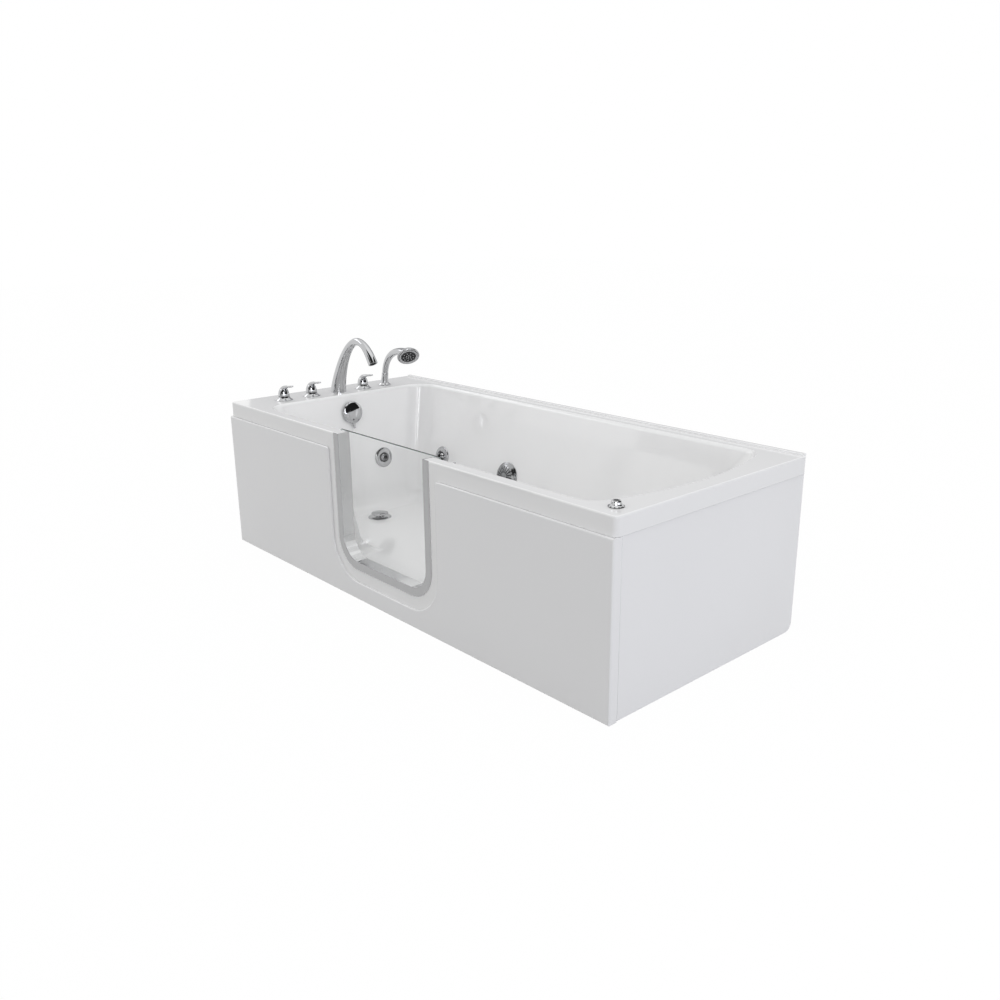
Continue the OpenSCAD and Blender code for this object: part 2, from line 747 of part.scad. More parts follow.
module hinge_clamps() {
  color(steel) in_place() for (z = hinge_zs) difference() {
    union() {
      translate([0, glass_in_y + leaf_t, 0]) rotate([90, 0, 0]) linear_extrude(leaf_t)
        rounded(glass_left, z - 25, glass_left + 34, z + 25, 5);
      translate([hinge_x, hinge_y, z - 12.5]) cylinder(r = knuckle_r, h = 25, $fn = smooth);
      box(hinge_x, glass_left + 8, glass_in_y, glass_in_y + leaf_t, z - 12.5, z + 12.5);
    }
    translate([hinge_x, hinge_y, z - 14])
      cylinder(r = hinge_pin_r + run, h = 28, $fn = smooth);
    for (d = [-1, 1]) translate([hinge_hole_x, glass_in_y - 1, z + d * hinge_hole_dz])
      rotate([-90, 0, 0]) cylinder(r = hinge_screw_r + 0.1, h = leaf_t + 2, $fn = smooth);
  }
}

backplate_t = 2.4;
module hinge_backplates() {
  color(steel) in_place() for (z = hinge_zs) difference() {
    translate([0, glass_y, 0]) rotate([90, 0, 0]) linear_extrude(backplate_t)
      rounded(glass_left, z - 25, glass_left + 24, z + 25, 5);
    for (d = [-1, 1])
      translate([hinge_hole_x, glass_y - backplate_t - 1, z + d * hinge_hole_dz])
        rotate([-90, 0, 0]) cylinder(r = hinge_screw_r + 0.02, h = backplate_t + 2, $fn = smooth);
  }
}

module hinge_screws() {
  color(chrome) in_place() at_hinge_holes() {
    translate([0, 0, glass_y - backplate_t])
      cylinder(r = hinge_screw_r, h = backplate_t + glass_t + leaf_t + 1, $fn = smooth);
    translate([0, 0, glass_in_y + leaf_t])
      turned([[0, 0], [4.5, 0], [4.5, 1.4], [3.4, 2.6], [0, 3]]);
  }
}

module latch_base() {
  color(steel) in_place() {
    upright(bay_y, bay_y + 5) rounded(latch_x - 20, latch_z - 25, latch_x + 20, latch_z + 25, 8);
    translate([latch_x, bay_y + 5, latch_z]) rotate([-90, 0, 0]) {
      cylinder(r = 9, h = glass_in_y - bay_y - 5, $fn = smooth);
      cylinder(r = latch_pin_r, h = glass_in_y - bay_y + 3, $fn = smooth);
      translate([0, 0, glass_in_y - bay_y + 3 - eps]) turned([[0, 0], [7, 0], [7, 1.5], [5, 3], [0, 3.4]]);
    }
  }
}

// Turn lever that lies beside the glass when released and over its edge when shut
module latch_lever() {
  color(steel) in_place() translate([latch_x, glass_in_y + 0.4, latch_z]) rotate([-90, 0, 0])
    difference() {
      union() {
        cylinder(r = 10, h = 6, $fn = smooth);
        hull() {
          translate([0, -8, 0]) cylinder(r = 7, h = 6, $fn = coarse);
          translate([0, -44, 0]) cylinder(r = 5.5, h = 6, $fn = coarse);
        }
        translate([0, -44, 0]) turned([[0, 0], [4.5, 0], [4, 10], [6, 15], [5.5, 19], [0, 20]]);
      }
      translate([0, 0, -1]) cylinder(r = latch_pin_r + run, h = 8, $fn = smooth);
    }
}

// ---------------------------------------------------------------- taps

spout_path = [[0, 0], [0.062 * spout_reach, 0.72 * spout_drop],
              [0.55 * spout_reach, 2.4 * spout_drop], [spout_reach, spout_drop]];
spout_steps = 22;
waist_r = 13.4;
outlet_r = 17;
outlet_lean = atan2(spout_path[3].y - spout_path[2].y, spout_path[3].x - spout_path[2].x);

module at_spout_outlet() {
  translate([tap_x + spout_reach, basin_y, rim_h + spout_drop])
    rotate([0, 90 - outlet_lean, 0]) children();
}

module spout() {
  radii = [for (i = [0 : spout_steps])
    let (t = i / spout_steps)
    t < 0.8 ? mix(spout_r, waist_r, sin(112.5 * t)) : mix(waist_r, outlet_r, ease(5 * t - 4))];
  color(chrome) in_place() difference() {
    union() {
      translate([tap_x, basin_y, rim_h]) swept(spout_path, radii, radii, 28, true);
      translate([tap_x, basin_y, tap_pipe_z - 12]) cylinder(r = neck_r, h = 90, $fn = smooth);
      translate([tap_x, basin_y, tap_pipe_z]) rotate([90, 0, 0])
        cylinder(r = 10, h = 2 * boss_l, center = true, $fn = smooth);
    }
    at_spout_outlet() translate([0, 0, -14]) cylinder(r = 11.5, h = 30, $fn = smooth);
  }
}

module aerator() {
  color(steel) in_place() at_spout_outlet() translate([0, 0, -12]) difference() {
    cylinder(r = 11.5 - run, h = 13, $fn = smooth);
    translate([0, 0, 7]) cylinder(r = 8.5, h = 7, $fn = smooth);
  }
}

// Bell-shaped plate below each lever
module tap_covers() {
  color(chrome) in_place() for (y = [hot_y, cold_y, diverter_y])
    translate([tap_x, y, rim_h]) turned([
      [neck_r + 0.5, 0], [cover_r, 0], [cover_r, 1.6], [cover_r - 4, 3.4], [cover_r - 8, 6.4],
      [cover_r - 10.5, 10], [cover_r - 11.5, cover_h], [neck_r + 0.5, cover_h]]);
}

module valve_bodies() {
  color("goldenrod") in_place() for (y = [hot_y, cold_y, diverter_y])
    difference() {
      union() {
        translate([tap_x, y, valve_low]) cylinder(r = valve_r, h = 60, $fn = smooth);
        translate([tap_x, y, valve_low]) cylinder(r = neck_r, h = rim_h + 8 - valve_low, $fn = smooth);
        translate([tap_x, y, tap_pipe_z]) rotate([90, 0, 0])
          cylinder(r = 10, h = 2 * boss_l, center = true, $fn = smooth);
      }
      translate([tap_x, y, deck_z - 20]) cylinder(r = stem_r + run, h = 60, $fn = smooth);
    }
}

module lever(y) {
  color(chrome) in_place() translate([tap_x, y, rim_h + cover_h + 0.5]) {
    turned([[0, 0], [19, 0], [20, 2], [19.4, 10], [17, 19], [12.5, 27], [6, 31], [0, 32]]);
    hull() {
      translate([5, 0, 18]) sphere(11, $fn = light);
      translate([lever_l - 26, 0, 35]) sphere(4.6, $fn = light);
    }
    hull() {
      translate([lever_l - 26, 0, 35]) sphere(4.6, $fn = light);
      for (s = [-1, 1]) translate([lever_l - 5, s * 3, 41]) sphere(3, $fn = light);
    }
    translate([0, 0, -cover_h - 18]) cylinder(r = stem_r, h = cover_h + 19, $fn = smooth);
  }
}
module hot_lever() { lever(hot_y); }
module cold_lever() { lever(cold_y); }
module diverter_lever() { lever(diverter_y); }

// Under-deck nuts of the tap set and of the air control
module deck_nuts() {
  color("goldenrod") in_place() {
    for (y = [hot_y, cold_y, basin_y, diverter_y, shower_y])
      translate([tap_x, y, deck_z - 10]) difference() {
        cylinder(r = 19, h = 10, $fn = 6);
        translate([0, 0, -1]) cylinder(r = neck_r + run, h = 12, $fn = smooth);
      }
    translate([knob_x, knob_y, deck_z - 8]) difference() {
      cylinder(r = 13, h = 8, $fn = 6);
      translate([0, 0, -1]) cylinder(r = air_neck_r + run, h = 10, $fn = smooth);
    }
  }
}

module at_holder() {
  translate([tap_x, shower_y, rim_h]) rotate([0, holder_lean, 0]) children();
}

module shower_holder() {
  color(chrome) in_place() difference() {
    union() {
      translate([tap_x, shower_y, rim_h])
        turned([[0, 0], [25, 0], [25, 2], [22, 4.5], [20, 8], [0, 8]]);
      at_holder() turned([[0, 4], [15.5, 4], [14, 14], [12.5, holder_h], [0, holder_h]]);
      translate([tap_x, shower_y, deck_z - 34]) cylinder(r = neck_r, h = 42, $fn = smooth);
    }
    at_holder() translate([0, 0, 12]) cylinder(r = nut_r + run, h = holder_h, $fn = smooth);
    translate([tap_x, shower_y, deck_z - 35])
      cylinder(r = 6, h = skin + 47, $fn = smooth);
  }
}

// Conical end of the hose, which drops into the holder
module hose_nut() {
  color(chrome) in_place() at_holder() {
    translate([0, 0, 18]) cylinder(r = nut_r, h = holder_h - 18 + 1, $fn = smooth);
    translate([0, 0, holder_h + seat])
      turned([[0, 0], [12.3, 0], [12.3, collar_h - 1], [11.6, collar_h], [0, collar_h]]);
    translate([0, 0, holder_h]) cylinder(r = 6, h = collar_h + 12, $fn = smooth);
  }
}

handle_z = holder_h + seat + collar_h + seat;
head_tilt = 130;                             // direction of the spray from upright, in degrees
head_turn = -26;                             // and its turn to the door's side
head_c = [160, 129];                         // head's middle in the holder's upright plane
handle_steps = 14;

module at_shower_head() {
  translate([tap_x + head_c.x, shower_y, rim_h + head_c.y])
    rotate([0, head_tilt, head_turn]) children();
}

module hand_shower() {
  wide = [for (i = [0 : handle_steps]) mix(11.8, 13, i / handle_steps)];
  deep = [for (i = [0 : handle_steps]) mix(11.8, 9.5, i / handle_steps)];
  start = [[sin(holder_lean) * handle_z, cos(holder_lean) * handle_z]];
  path = concat(start, [[sin(holder_lean) * 100, cos(holder_lean) * 100]],
                [[52, 146]], [[head_c.x - 16, head_c.y + 12]]);
  color(chrome) in_place() difference() {
    union() {
      translate([tap_x, shower_y, rim_h]) swept(path, wide, deep, 24);
      at_shower_head() turned([[0, -26], [14, -24], [28, -17], [38, -8], [head_r, 0],
                               [head_r, 3], [head_r - 3, 5], [0, 5]]);
    }
    at_holder() translate([0, 0, handle_z - 1]) cylinder(r = 6 + run, h = 14, $fn = smooth);
    at_shower_head() translate([0, 0, 2]) cylinder(r = head_r - 6, h = 10, $fn = smooth);
  }
}

// Perforated spray plate
module shower_face() {
  color(plastic) in_place() at_shower_head() translate([0, 0, 2]) {
    turned([[0, 0], [head_r - 6.2, 0], [head_r - 6.2, 2.6], [head_r - 9, 4], [0, 4]]);
    for (ring = [[0, 1], [9, 6], [18, 12], [27, 18]], i = [1 : ring[1]])
      rotate([0, 0, 360 * i / ring[1]]) translate([ring[0], 0, 4 - eps])
        cylinder(r = 1.3, h = 1.4, $fn = 8);
  }
}

module tap_pipes() {
  color("peru") in_place() {
    for (span = [[hot_y, cold_y], [cold_y, basin_y], [basin_y, diverter_y]])
      translate([tap_x, span[0] + boss_l, tap_pipe_z]) rotate([-90, 0, 0])
        cylinder(r = tap_pipe_r, h = span[1] - span[0] - 2 * boss_l, $fn = smooth);
    for (y = [hot_y, cold_y]) translate([tap_x, y, supply_low]) {
      difference() {
        union() {
          cylinder(r = tap_pipe_r, h = valve_low - supply_low, $fn = smooth);
          cylinder(r = 10.5, h = 20, $fn = smooth);
          translate([0, 0, 20]) cylinder(r = 14, h = 12, $fn = 6);
        }
        translate([0, 0, -1]) cylinder(r = 6, h = 60, $fn = smooth);
      }
    }
  }
}

// ---------------------------------------------------------------- waste

module overflow_elbow() {
  color(pvc) in_place() difference() {
    union() {
      on_foot_wall(basin_y, overflow_z) translate([0, 0, -skin - seat - 7])
        cylinder(r = 30, h = 7, $fn = smooth);
      on_foot_wall(basin_y, overflow_z) translate([0, 0, -36])
        cylinder(r = 18, h = 36 - skin, $fn = smooth);
      translate([overflow_pipe_x, basin_y, overflow_z - 34])
        cylinder(r = waste_r + 3, h = 54, $fn = smooth);
    }
    on_foot_wall(basin_y, overflow_z) translate([0, 0, -30])
      cylinder(r = spindle_r + run, h = 40, $fn = smooth);
  }
}

// Domed cap that is turned to work the stopper, with a finger tab below
module overflow_knob() {
  color(chrome) in_place() on_foot_wall(basin_y, overflow_z) {
    turned([[0, 4], [overflow_r - 5, 4], [overflow_r, 6], [overflow_r, 12],
            [overflow_r - 3, 15.5], [overflow_r - 12, 18.5], [overflow_r - 26, 20], [0, 20.4]]);
    translate([0, 0, -28]) cylinder(r = spindle_r, h = 33, $fn = smooth);
    hull() {
      translate([overflow_r - 8, 0, 7]) cylinder(r = 6, h = 5, $fn = coarse);
      translate([overflow_r + 15, 0, 8]) cylinder(r = 4.5, h = 3, $fn = coarse);
    }
  }
}

module drain_flange() {
  color(chrome) in_place() translate([drain_x, basin_y, 0]) difference() {
    union() {
      translate([0, 0, floor_h]) turned([[0, 0], [drain_r, 0], [drain_r - 2, 1.6],
                                         [drain_r - 12, 3], [0, 3]]);
      translate([0, 0, floor_h - 26]) cylinder(r = throat_r, h = 27, $fn = smooth);
    }
    for (a = [0 : 60 : 300]) rotate([0, 0, a + 30]) translate([12.5, 0, floor_h - 27])
      cylinder(r = 4.8, h = 32, $fn = smooth);
    translate([0, 0, floor_h - 27]) cylinder(r = 4 + run, h = 32, $fn = smooth);
    translate([0, 0, floor_h - 27]) cylinder(r = throat_r - 2.5, h = 18, $fn = smooth);
  }
}

// Cap of the pop-up waste, drawn raised
module drain_stopper() {
  color(chrome) in_place() translate([drain_x, basin_y, floor_h + 3 + seat + stopper_lift]) {
    turned([[0, 0], [26, 0], [31, 1.5], [32, 3], [30, 5], [20, 7.4], [0, 8.6]]);
    translate([0, 0, -24]) cylinder(r = 4, h = 25, $fn = smooth);
  }
}

module waste_pipe() {
  color(pvc) in_place() difference() {
    union() {
      translate([drain_x, basin_y, waste_z - waste_r])
        cylinder(r = 30, h = floor_h - skin - seat - waste_z + waste_r, $fn = smooth);
      pipe_run([[drain_x, basin_y, waste_z], [overflow_pipe_x, basin_y, waste_z]], waste_r);
      translate([overflow_pipe_x, basin_y, 6])
        cylinder(r = waste_r, h = overflow_z - 34 - seat - 6, $fn = smooth);
      translate([overflow_pipe_x, basin_y, 20])
        cylinder(r = waste_r + 3, h = waste_z + waste_r + 4 - 20, $fn = smooth);
    }
    translate([drain_x, basin_y, floor_h - 27 - stopper_lift - 6])
      cylinder(r = throat_r + run, h = 60, $fn = smooth);
    translate([overflow_pipe_x, basin_y, 5]) cylinder(r = waste_r - 2.5, h = 40, $fn = smooth);
  }
}

// ---------------------------------------------------------------- jets and pump

// Cover ring of a jet; its throat goes through the wall and holds the eyeball
module jet_rings() {
  color(chrome) in_place() at_each_jet() difference() {
    turned([[0, -15], [jet_hole_r - 1, -15], [jet_hole_r - 1, 0.6], [jet_r, 0.6], [jet_r, 2.4],
            [jet_r - 4, 5], [jet_r - 10, 6.4], [jet_r - 16, 6], [0, 6]]);
    translate([0, 0, -2]) sphere(ball_r + seat, $fn = smooth);
    translate([0, 0, -16]) cylinder(r = 10, h = 10, $fn = smooth);
  }
}

module jet_bodies() {
  color(pvc) in_place() at_each_jet() difference() {
    union() {
      translate([0, 0, -skin - seat - 6]) cylinder(r = 33, h = 6, $fn = smooth);
      translate([0, 0, -socket_h]) cylinder(r = 28, h = socket_h - skin - seat, $fn = smooth);
    }
    translate([0, 0, -20]) cylinder(r = jet_hole_r - 1 + run, h = 30, $fn = smooth);
    translate([0, 0, -socket_h + 6]) cylinder(r = 20, h = socket_h, $fn = smooth);
  }
  color(pvc) in_place() for (at = jet_bosses) {
    translate([at.x, at.y, riser_z]) cylinder(r = riser_r + 3, h = jet_z - 30 - riser_z,
                                              $fn = smooth);
    translate([at[2], at[3], jet_z + 15]) cylinder(r = air_r + 1, h = air_drop_z - jet_z - 15,
                                                   $fn = smooth);
  }
}

// Eyeball nozzle of a jet
module eyeball() {
  translate([0, 0, -2]) difference() {
    union() {
      sphere(ball_r, $fn = smooth);
      cylinder(r = 9, h = 18, $fn = smooth);
    }
    translate([0, 0, -ball_r - 1]) cylinder(r = 5.5, h = 2 * ball_r + 10, $fn = smooth);
    translate([0, 0, 14]) cylinder(r = 7, h = 5, $fn = smooth);
  }
}
module foot_jet_front() {
  color(chrome) in_place() on_foot_wall(foot_jet_ys[0], jet_z) eyeball();
}
module foot_jet_back() {
  color(chrome) in_place() on_foot_wall(foot_jet_ys[1], jet_z) eyeball();
}
module back_jet() {
  color(chrome) in_place() on_back_wall(side_jet_x, jet_z) eyeball();
}
module front_jet() {
  color(chrome) in_place() on_front_wall(side_jet_x, jet_z) eyeball();
}

// Domed strainer over the suction, with radial slots
module suction_cover() {
  color(chrome) in_place() on_back_wall(suction_x, suction_z) difference() {
    turned([[0, 6], [26, 6], [26, 0.6], [suction_r, 0.6], [suction_r, 3], [suction_r - 4, 5],
            [suction_r - 10, 11], [suction_r - 22, 15.5], [suction_r - 38, 17], [0, 17.4]]);
    for (a = [0 : 20 : 340]) rotate([0, 0, a]) translate([14, -1.6, 1]) cube([25, 3.2, 20]);
  }
}

module suction_body() {
  color(pvc) in_place() difference() {
    union() {
      on_back_wall(suction_x, suction_z) translate([0, 0, -skin - seat - 6])
        cylinder(r = 44, h = 6, $fn = smooth);
      on_back_wall(suction_x, suction_z) translate([0, 0, -suction_elbow])
        cylinder(r = 29.5, h = suction_elbow - skin - seat, $fn = smooth);
      on_back_wall(suction_x, suction_z) translate([0, 0, -suction_elbow])
        sphere(29.5, $fn = smooth);
      translate([suction_x, suction_line_y, suction_line_z]) rotate([0, 90, 0])
        cylinder(r = 24, h = 44, $fn = smooth);
    }
    on_back_wall(suction_x, suction_z) translate([0, 0, -suction_elbow])
      cylinder(r = 24, h = suction_elbow + 10, $fn = smooth);
    translate([suction_x, suction_line_y, suction_line_z]) rotate([0, 90, 0])
      cylinder(r = suction_line_r - 3, h = 50, $fn = smooth);
  }
}

module pump_motor() {
  color(plastic) in_place() {
    translate([pump_x, pump_y + 100, motor_z]) rotate([90, 0, 0]) {
      cylinder(r = motor_r - 5, h = 250, $fn = smooth);
      for (a = [0 : 15 : 345]) rotate([0, 0, a]) translate([motor_r - 6, -1.5, 20])
        cube([6, 3, 190]);
      translate([0, 0, 212]) cylinder(r = motor_r, h = 38, $fn = smooth);
    }
    box(pump_x - 55, pump_x + 55, pump_y - 120, pump_y + 60, base_z + 4, motor_z - motor_r + 12);
    box(pump_x - 122, pump_x + 108, pump_y - 130, pump_y + 200, base_z, base_z + 4);
    box(pump_x - 30, pump_x + 30, pump_y - 90, pump_y + 10, motor_z + motor_r - 12,
        motor_z + motor_r + 28);
  }
}

module pump_housing() {
  color(plastic) in_place() difference() {
    union() {
      translate([pump_x, pump_y + 100, motor_z]) rotate([-90, 0, 0])
        cylinder(r = volute_r, h = 70, $fn = smooth);
      translate([pump_x, pump_y + 170, motor_z]) rotate([-90, 0, 0])
        cylinder(r = 32, h = 42, $fn = smooth);
      translate([port_x, pump_y + 135, main_z]) rotate([0, 90, 0])
        cylinder(r = pipe_r + 4, h = pump_x - port_x - 20, $fn = smooth);
    }
    translate([pump_x, pump_y + 108, motor_z]) rotate([-90, 0, 0])
      cylinder(r = impeller_r + 12, h = 54, $fn = smooth);
    translate([pump_x, pump_y + 160, motor_z]) rotate([-90, 0, 0])
      cylinder(r = 20, h = 60, $fn = smooth);
    translate([pump_x, pump_y + 90, motor_z]) rotate([-90, 0, 0])
      cylinder(r = shaft_r + run, h = 30, $fn = smooth);
  }
}

// Closed impeller with curved vanes on its shaft
module pump_impeller() {
  color("slategray") in_place() translate([pump_x, pump_y + 100 + seat, motor_z])
    rotate([-90, 0, 0]) {
      cylinder(r = shaft_r, h = 40, $fn = smooth);
      translate([0, 0, 12]) cylinder(r = impeller_r, h = 4, $fn = smooth);
      for (a = [0 : 60 : 300]) rotate([0, 0, a]) translate([29, 0, 14])
        linear_extrude(20) intersection() {
          difference() {
            circle(26, $fn = smooth);
            circle(23, $fn = smooth);
          }
          translate([-30, 4]) square([60, 30]);
        }
    }
}

// The routes of the water main, of its risers and of the air line
main_route = [
  [port_x, pump_y + 135, main_z], [port_x - 30, pump_y + 135, main_z],
  [port_x - 30, main_back_y, main_z], [main_foot_x, main_back_y, main_z],
  [main_foot_x, main_front_y, main_z], [side_jet_x + pipe_r, main_front_y, main_z]];
suction_route = [
  [suction_x + 44, suction_line_y, suction_line_z], [pump_x, suction_line_y, suction_line_z],
  [pump_x, suction_line_y, motor_z], [pump_x, pump_y + 212, motor_z]];
air_route = [
  [knob_x, knob_y + 14, deck_z - 50], [knob_x, air_back_y, deck_z - 50],
  [knob_x, air_back_y, air_z], [air_foot_x, air_back_y, air_z],
  [air_foot_x, air_front_y, air_z], [side_jet_x, air_front_y, air_z],
  [side_jet_x, air_front_y, air_drop_z]];

// Water main from the pump round the tap end with a riser to each jet, the suction line back to
// the pump, and the air line from the air control to each jet
module jet_pipes() {
  color(pvc) in_place() {
    pipe_run(main_route, pipe_r);
    for (at = jet_bosses) translate([at.x, at.y, main_z])
      cylinder(r = riser_r, h = riser_z - main_z, $fn = smooth);
    pipe_run(suction_route, suction_line_r);
    pipe_run(air_route, air_r);
    pipe_run([[side_jet_x, air_back_y, air_z], [side_jet_x, air_back_y, air_drop_z]],
             air_r - 1);
    for (y = foot_jet_ys)
      pipe_run([[air_foot_x, y, air_z], [air_jet_x, y, air_z], [air_jet_x, y, air_drop_z]],
               air_r - 1);
  }
}

// Air control: its threaded body hangs from the deck and carries the knob
module air_valve() {
  color(pvc) in_place() translate([knob_x, knob_y, 0]) difference() {
    union() {
      translate([0, 0, deck_z - valve_h]) cylinder(r = 12, h = valve_h - 9, $fn = smooth);
      translate([0, 0, deck_z - 10]) cylinder(r = air_neck_r, h = skin + 9.5, $fn = smooth);
      translate([0, 0, deck_z - 50]) rotate([-90, 0, 0]) cylinder(r = 8.5, h = 14, $fn = smooth);
    }
    translate([0, 0, deck_z - 20]) cylinder(r = 4 + run, h = 40, $fn = smooth);
  }
}

module air_knob() {
  color(chrome) in_place() translate([knob_x, knob_y, rim_h]) difference() {
    union() {
      turned([[0, 0.5], [knob_r, 0.5], [knob_r, 2.5], [knob_r - 4, 4.5], [knob_r - 7, 6],
              [knob_r - 8, 13], [knob_r - 10, 15.5], [0, 16.5]]);
      translate([0, 0, -22]) cylinder(r = 4, h = 23, $fn = smooth);
    }
    for (a = [0 : 30 : 330]) rotate([0, 0, a]) translate([knob_r, 0, -1])
      cylinder(r = 2.2, h = 6, $fn = smooth);
  }
}

tub_shell();
front_panel();
end_panel();
base_board();
panel_brackets();
base_rails();
cross_bars();
frame_posts();
top_rails();
frame_bolts();
foot_front_left();
foot_front_middle();
foot_front_right();
foot_back_left();
foot_back_middle();
foot_back_right();
foot_locknuts();
door_frame();
door_clamp_frame();
door_seal();
door_glass();
hinge_brackets();
hinge_pins();
hinge_clamps();
hinge_backplates();
hinge_screws();
latch_base();
latch_lever();
spout();
aerator();
deck_nuts();
tap_covers();
valve_bodies();
hot_lever();
cold_lever();
diverter_lever();
shower_holder();
hose_nut();
hand_shower();
shower_face();
tap_pipes();
overflow_elbow();
overflow_knob();
drain_flange();
drain_stopper();
waste_pipe();
jet_rings();
jet_bodies();
foot_jet_front();
foot_jet_back();
back_jet();
front_jet();
suction_cover();
suction_body();
pump_motor();
pump_housing();
pump_impeller();
jet_pipes();
air_valve();
air_knob();
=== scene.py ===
"""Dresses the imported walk-in bathtub: a glossy acrylic shell on a steel frame, panels round it,
a glass door in a polished steel frame, a chrome tap set, jets, waste and the pump below.

Sizes are in millimetres in the part's own frame, and become metres where a mesh is placed.
"""

import logging
import math
from abc import ABC, abstractmethod
from collections.abc import Callable, Sequence
from dataclasses import dataclass
from enum import Enum

import bmesh
import bpy
from mathutils import Matrix, Vector


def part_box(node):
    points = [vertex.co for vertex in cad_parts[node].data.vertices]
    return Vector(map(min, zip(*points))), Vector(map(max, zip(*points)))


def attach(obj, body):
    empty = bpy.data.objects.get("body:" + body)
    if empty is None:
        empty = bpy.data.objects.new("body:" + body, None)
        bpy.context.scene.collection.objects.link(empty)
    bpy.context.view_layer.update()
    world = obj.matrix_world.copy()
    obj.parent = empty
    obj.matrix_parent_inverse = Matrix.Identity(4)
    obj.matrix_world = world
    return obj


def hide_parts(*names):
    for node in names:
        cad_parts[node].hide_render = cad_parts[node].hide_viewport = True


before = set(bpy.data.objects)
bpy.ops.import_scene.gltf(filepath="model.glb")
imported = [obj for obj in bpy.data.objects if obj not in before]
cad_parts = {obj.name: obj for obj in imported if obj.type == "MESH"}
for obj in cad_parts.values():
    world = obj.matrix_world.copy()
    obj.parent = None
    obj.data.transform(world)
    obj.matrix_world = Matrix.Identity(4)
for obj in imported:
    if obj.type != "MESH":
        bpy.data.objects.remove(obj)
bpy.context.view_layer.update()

MM = 0.001
SAME = 1e-5
WHITE = (1, 1, 1, 1)
BEAD_H = 6.0
BAY_WALL = 37.0
Flat = tuple[float, float]
Point = tuple[float, float, float]
Ring = list[Point]
Node = bpy.types.Node
Socket = bpy.types.NodeSocket
Piece = bpy.types.Object
Edge = bmesh.types.BMEdge
EdgePick = Callable[[Edge], bool]

logging.basicConfig(level=logging.INFO, format="%(message)s")
log = logging.getLogger("tub")


# ---------------------------------------------------------------- finishes


class NodeSheet:
    """The node tree of a material or a world, with short ways to add and join nodes."""

    def __init__(self, owner: bpy.types.Material | bpy.types.World) -> None:
        """Empties the tree and gives it an output.

        Args:
            owner: The material or the world that is drawn.
        """
        owner.use_nodes = True
        self.tree = owner.node_tree
        self.tree.nodes.clear()
        self.out = self.add("Output" + type(owner).__name__)

    def add(self, kind: str, **values: object) -> Node:
        """Adds a node.

        Args:
            kind: The node's type, without the ShaderNode in front.
            **values: Properties, or sockets when the name starts with in_.

        Returns:
            The new node.
        """
        node = self.tree.nodes.new("ShaderNode" + kind)
        for key, value in values.items():
            if key.startswith("in_"):
                node.inputs[key[3:].replace("_", " ")].default_value = value
            else:
                setattr(node, key, value)
        return node

    def join(self, source: Socket, target: Socket) -> None:
        """Links two sockets."""
        self.tree.links.new(source, target)

    def feed(self, node: Node, **sources: Socket) -> None:
        """Links sockets to a node's inputs, named with _ for a space."""
        for key, source in sources.items():
            self.join(source, node.inputs[key.replace("_", " ")])

    def noise(self, scale: float, detail: float = 3, stretch: Point = (1, 1, 1),
              rough: float = 0.5) -> Socket:
        """Gives a noise value over Object coordinates.

        Args:
            scale: Its scale, per metre.
            detail: Its octaves.
            stretch: How the pattern is stretched.
            rough: The weight of the finer octaves.

        Returns:
            The value socket.
        """
        node = self.add("TexNoise", in_Scale=scale, in_Detail=detail, in_Roughness=rough)
        mapping = self.add("Mapping", in_Scale=stretch)
        self.feed(mapping, Vector=self.add("TexCoord").outputs["Object"])
        self.feed(node, Vector=mapping.outputs["Vector"])
        return node.outputs["Fac"]

    def larger(self, one: Socket, two: Socket) -> Socket:
        """Gives the larger of two values.

        Args:
            one: A value socket.
            two: Another.

        Returns:
            The value socket of the larger.
        """
        node = self.add("Math", operation="MAXIMUM")
        self.join(one, node.inputs[0])
        self.join(two, node.inputs[1])
        return node.outputs[0]

    def ramp(self, value: Socket, low: Point, high: Point,
             start: float = 0.3, end: float = 0.7) -> Socket:
        """Turns a value into a colour between two.

        Args:
            value: The value socket.
            low: The colour at start.
            high: The colour at end.
            start: Where the low colour stands.
            end: Where the high colour stands.

        Returns:
            The colour socket.
        """
        node = self.add("ValToRGB")
        for stop, at, colour in zip(node.color_ramp.elements, (start, end), (low, high)):
            stop.position, stop.color = at, (*colour, 1)
        self.feed(node, Fac=value)
        return node.outputs["Color"]

    def span(self, value: Socket, low: float, high: float) -> Socket:
        """Maps a value from 0..1 to another span.

        Args:
            value: The value socket.
            low: What 0 becomes.
            high: What 1 becomes.

        Returns:
            The new value socket.
        """
        node = self.add("MapRange", in_To_Min=low, in_To_Max=high)
        self.feed(node, Value=value)
        return node.outputs["Result"]

    def bump(self, value: Socket, strength: float, depth: float) -> Socket:
        """Makes a surface relief.

        Args:
            value: The height socket.
            strength: The relief's strength.
            depth: Its depth in metres.

        Returns:
            The normal socket.
        """
        node = self.add("Bump", in_Strength=strength, in_Distance=depth)
        self.feed(node, Height=value)
        return node.outputs["Normal"]

    def surface(self, **values: object) -> Node:
        """Adds the main shader, its sockets written as in_Name, and joins it to the output."""
        node = self.add("BsdfPrincipled", **values)
        self.feed(self.out, Surface=node.outputs[0])
        return node

    def seen(self) -> Socket:
        """Gives 1 for rays from the camera, from a mirror and through glass, and else 0."""
        ray = self.add("LightPath").outputs
        return self.larger(self.larger(ray["Is Camera Ray"], ray["Is Glossy Ray"]),
                           ray["Is Transmission Ray"])

    def blend(self, share: Socket, first: Node, second: Node) -> None:
        """Mixes two shaders and joins the mix to the output.

        Args:
            share: How much of the second there is.
            first: The first shader.
            second: The second shader.
        """
        mix = self.add("MixShader")
        self.feed(mix, Fac=share)
        self.join(first.outputs[0], mix.inputs[1])
        self.join(second.outputs[0], mix.inputs[2])
        self.feed(self.out, Surface=mix.outputs[0])


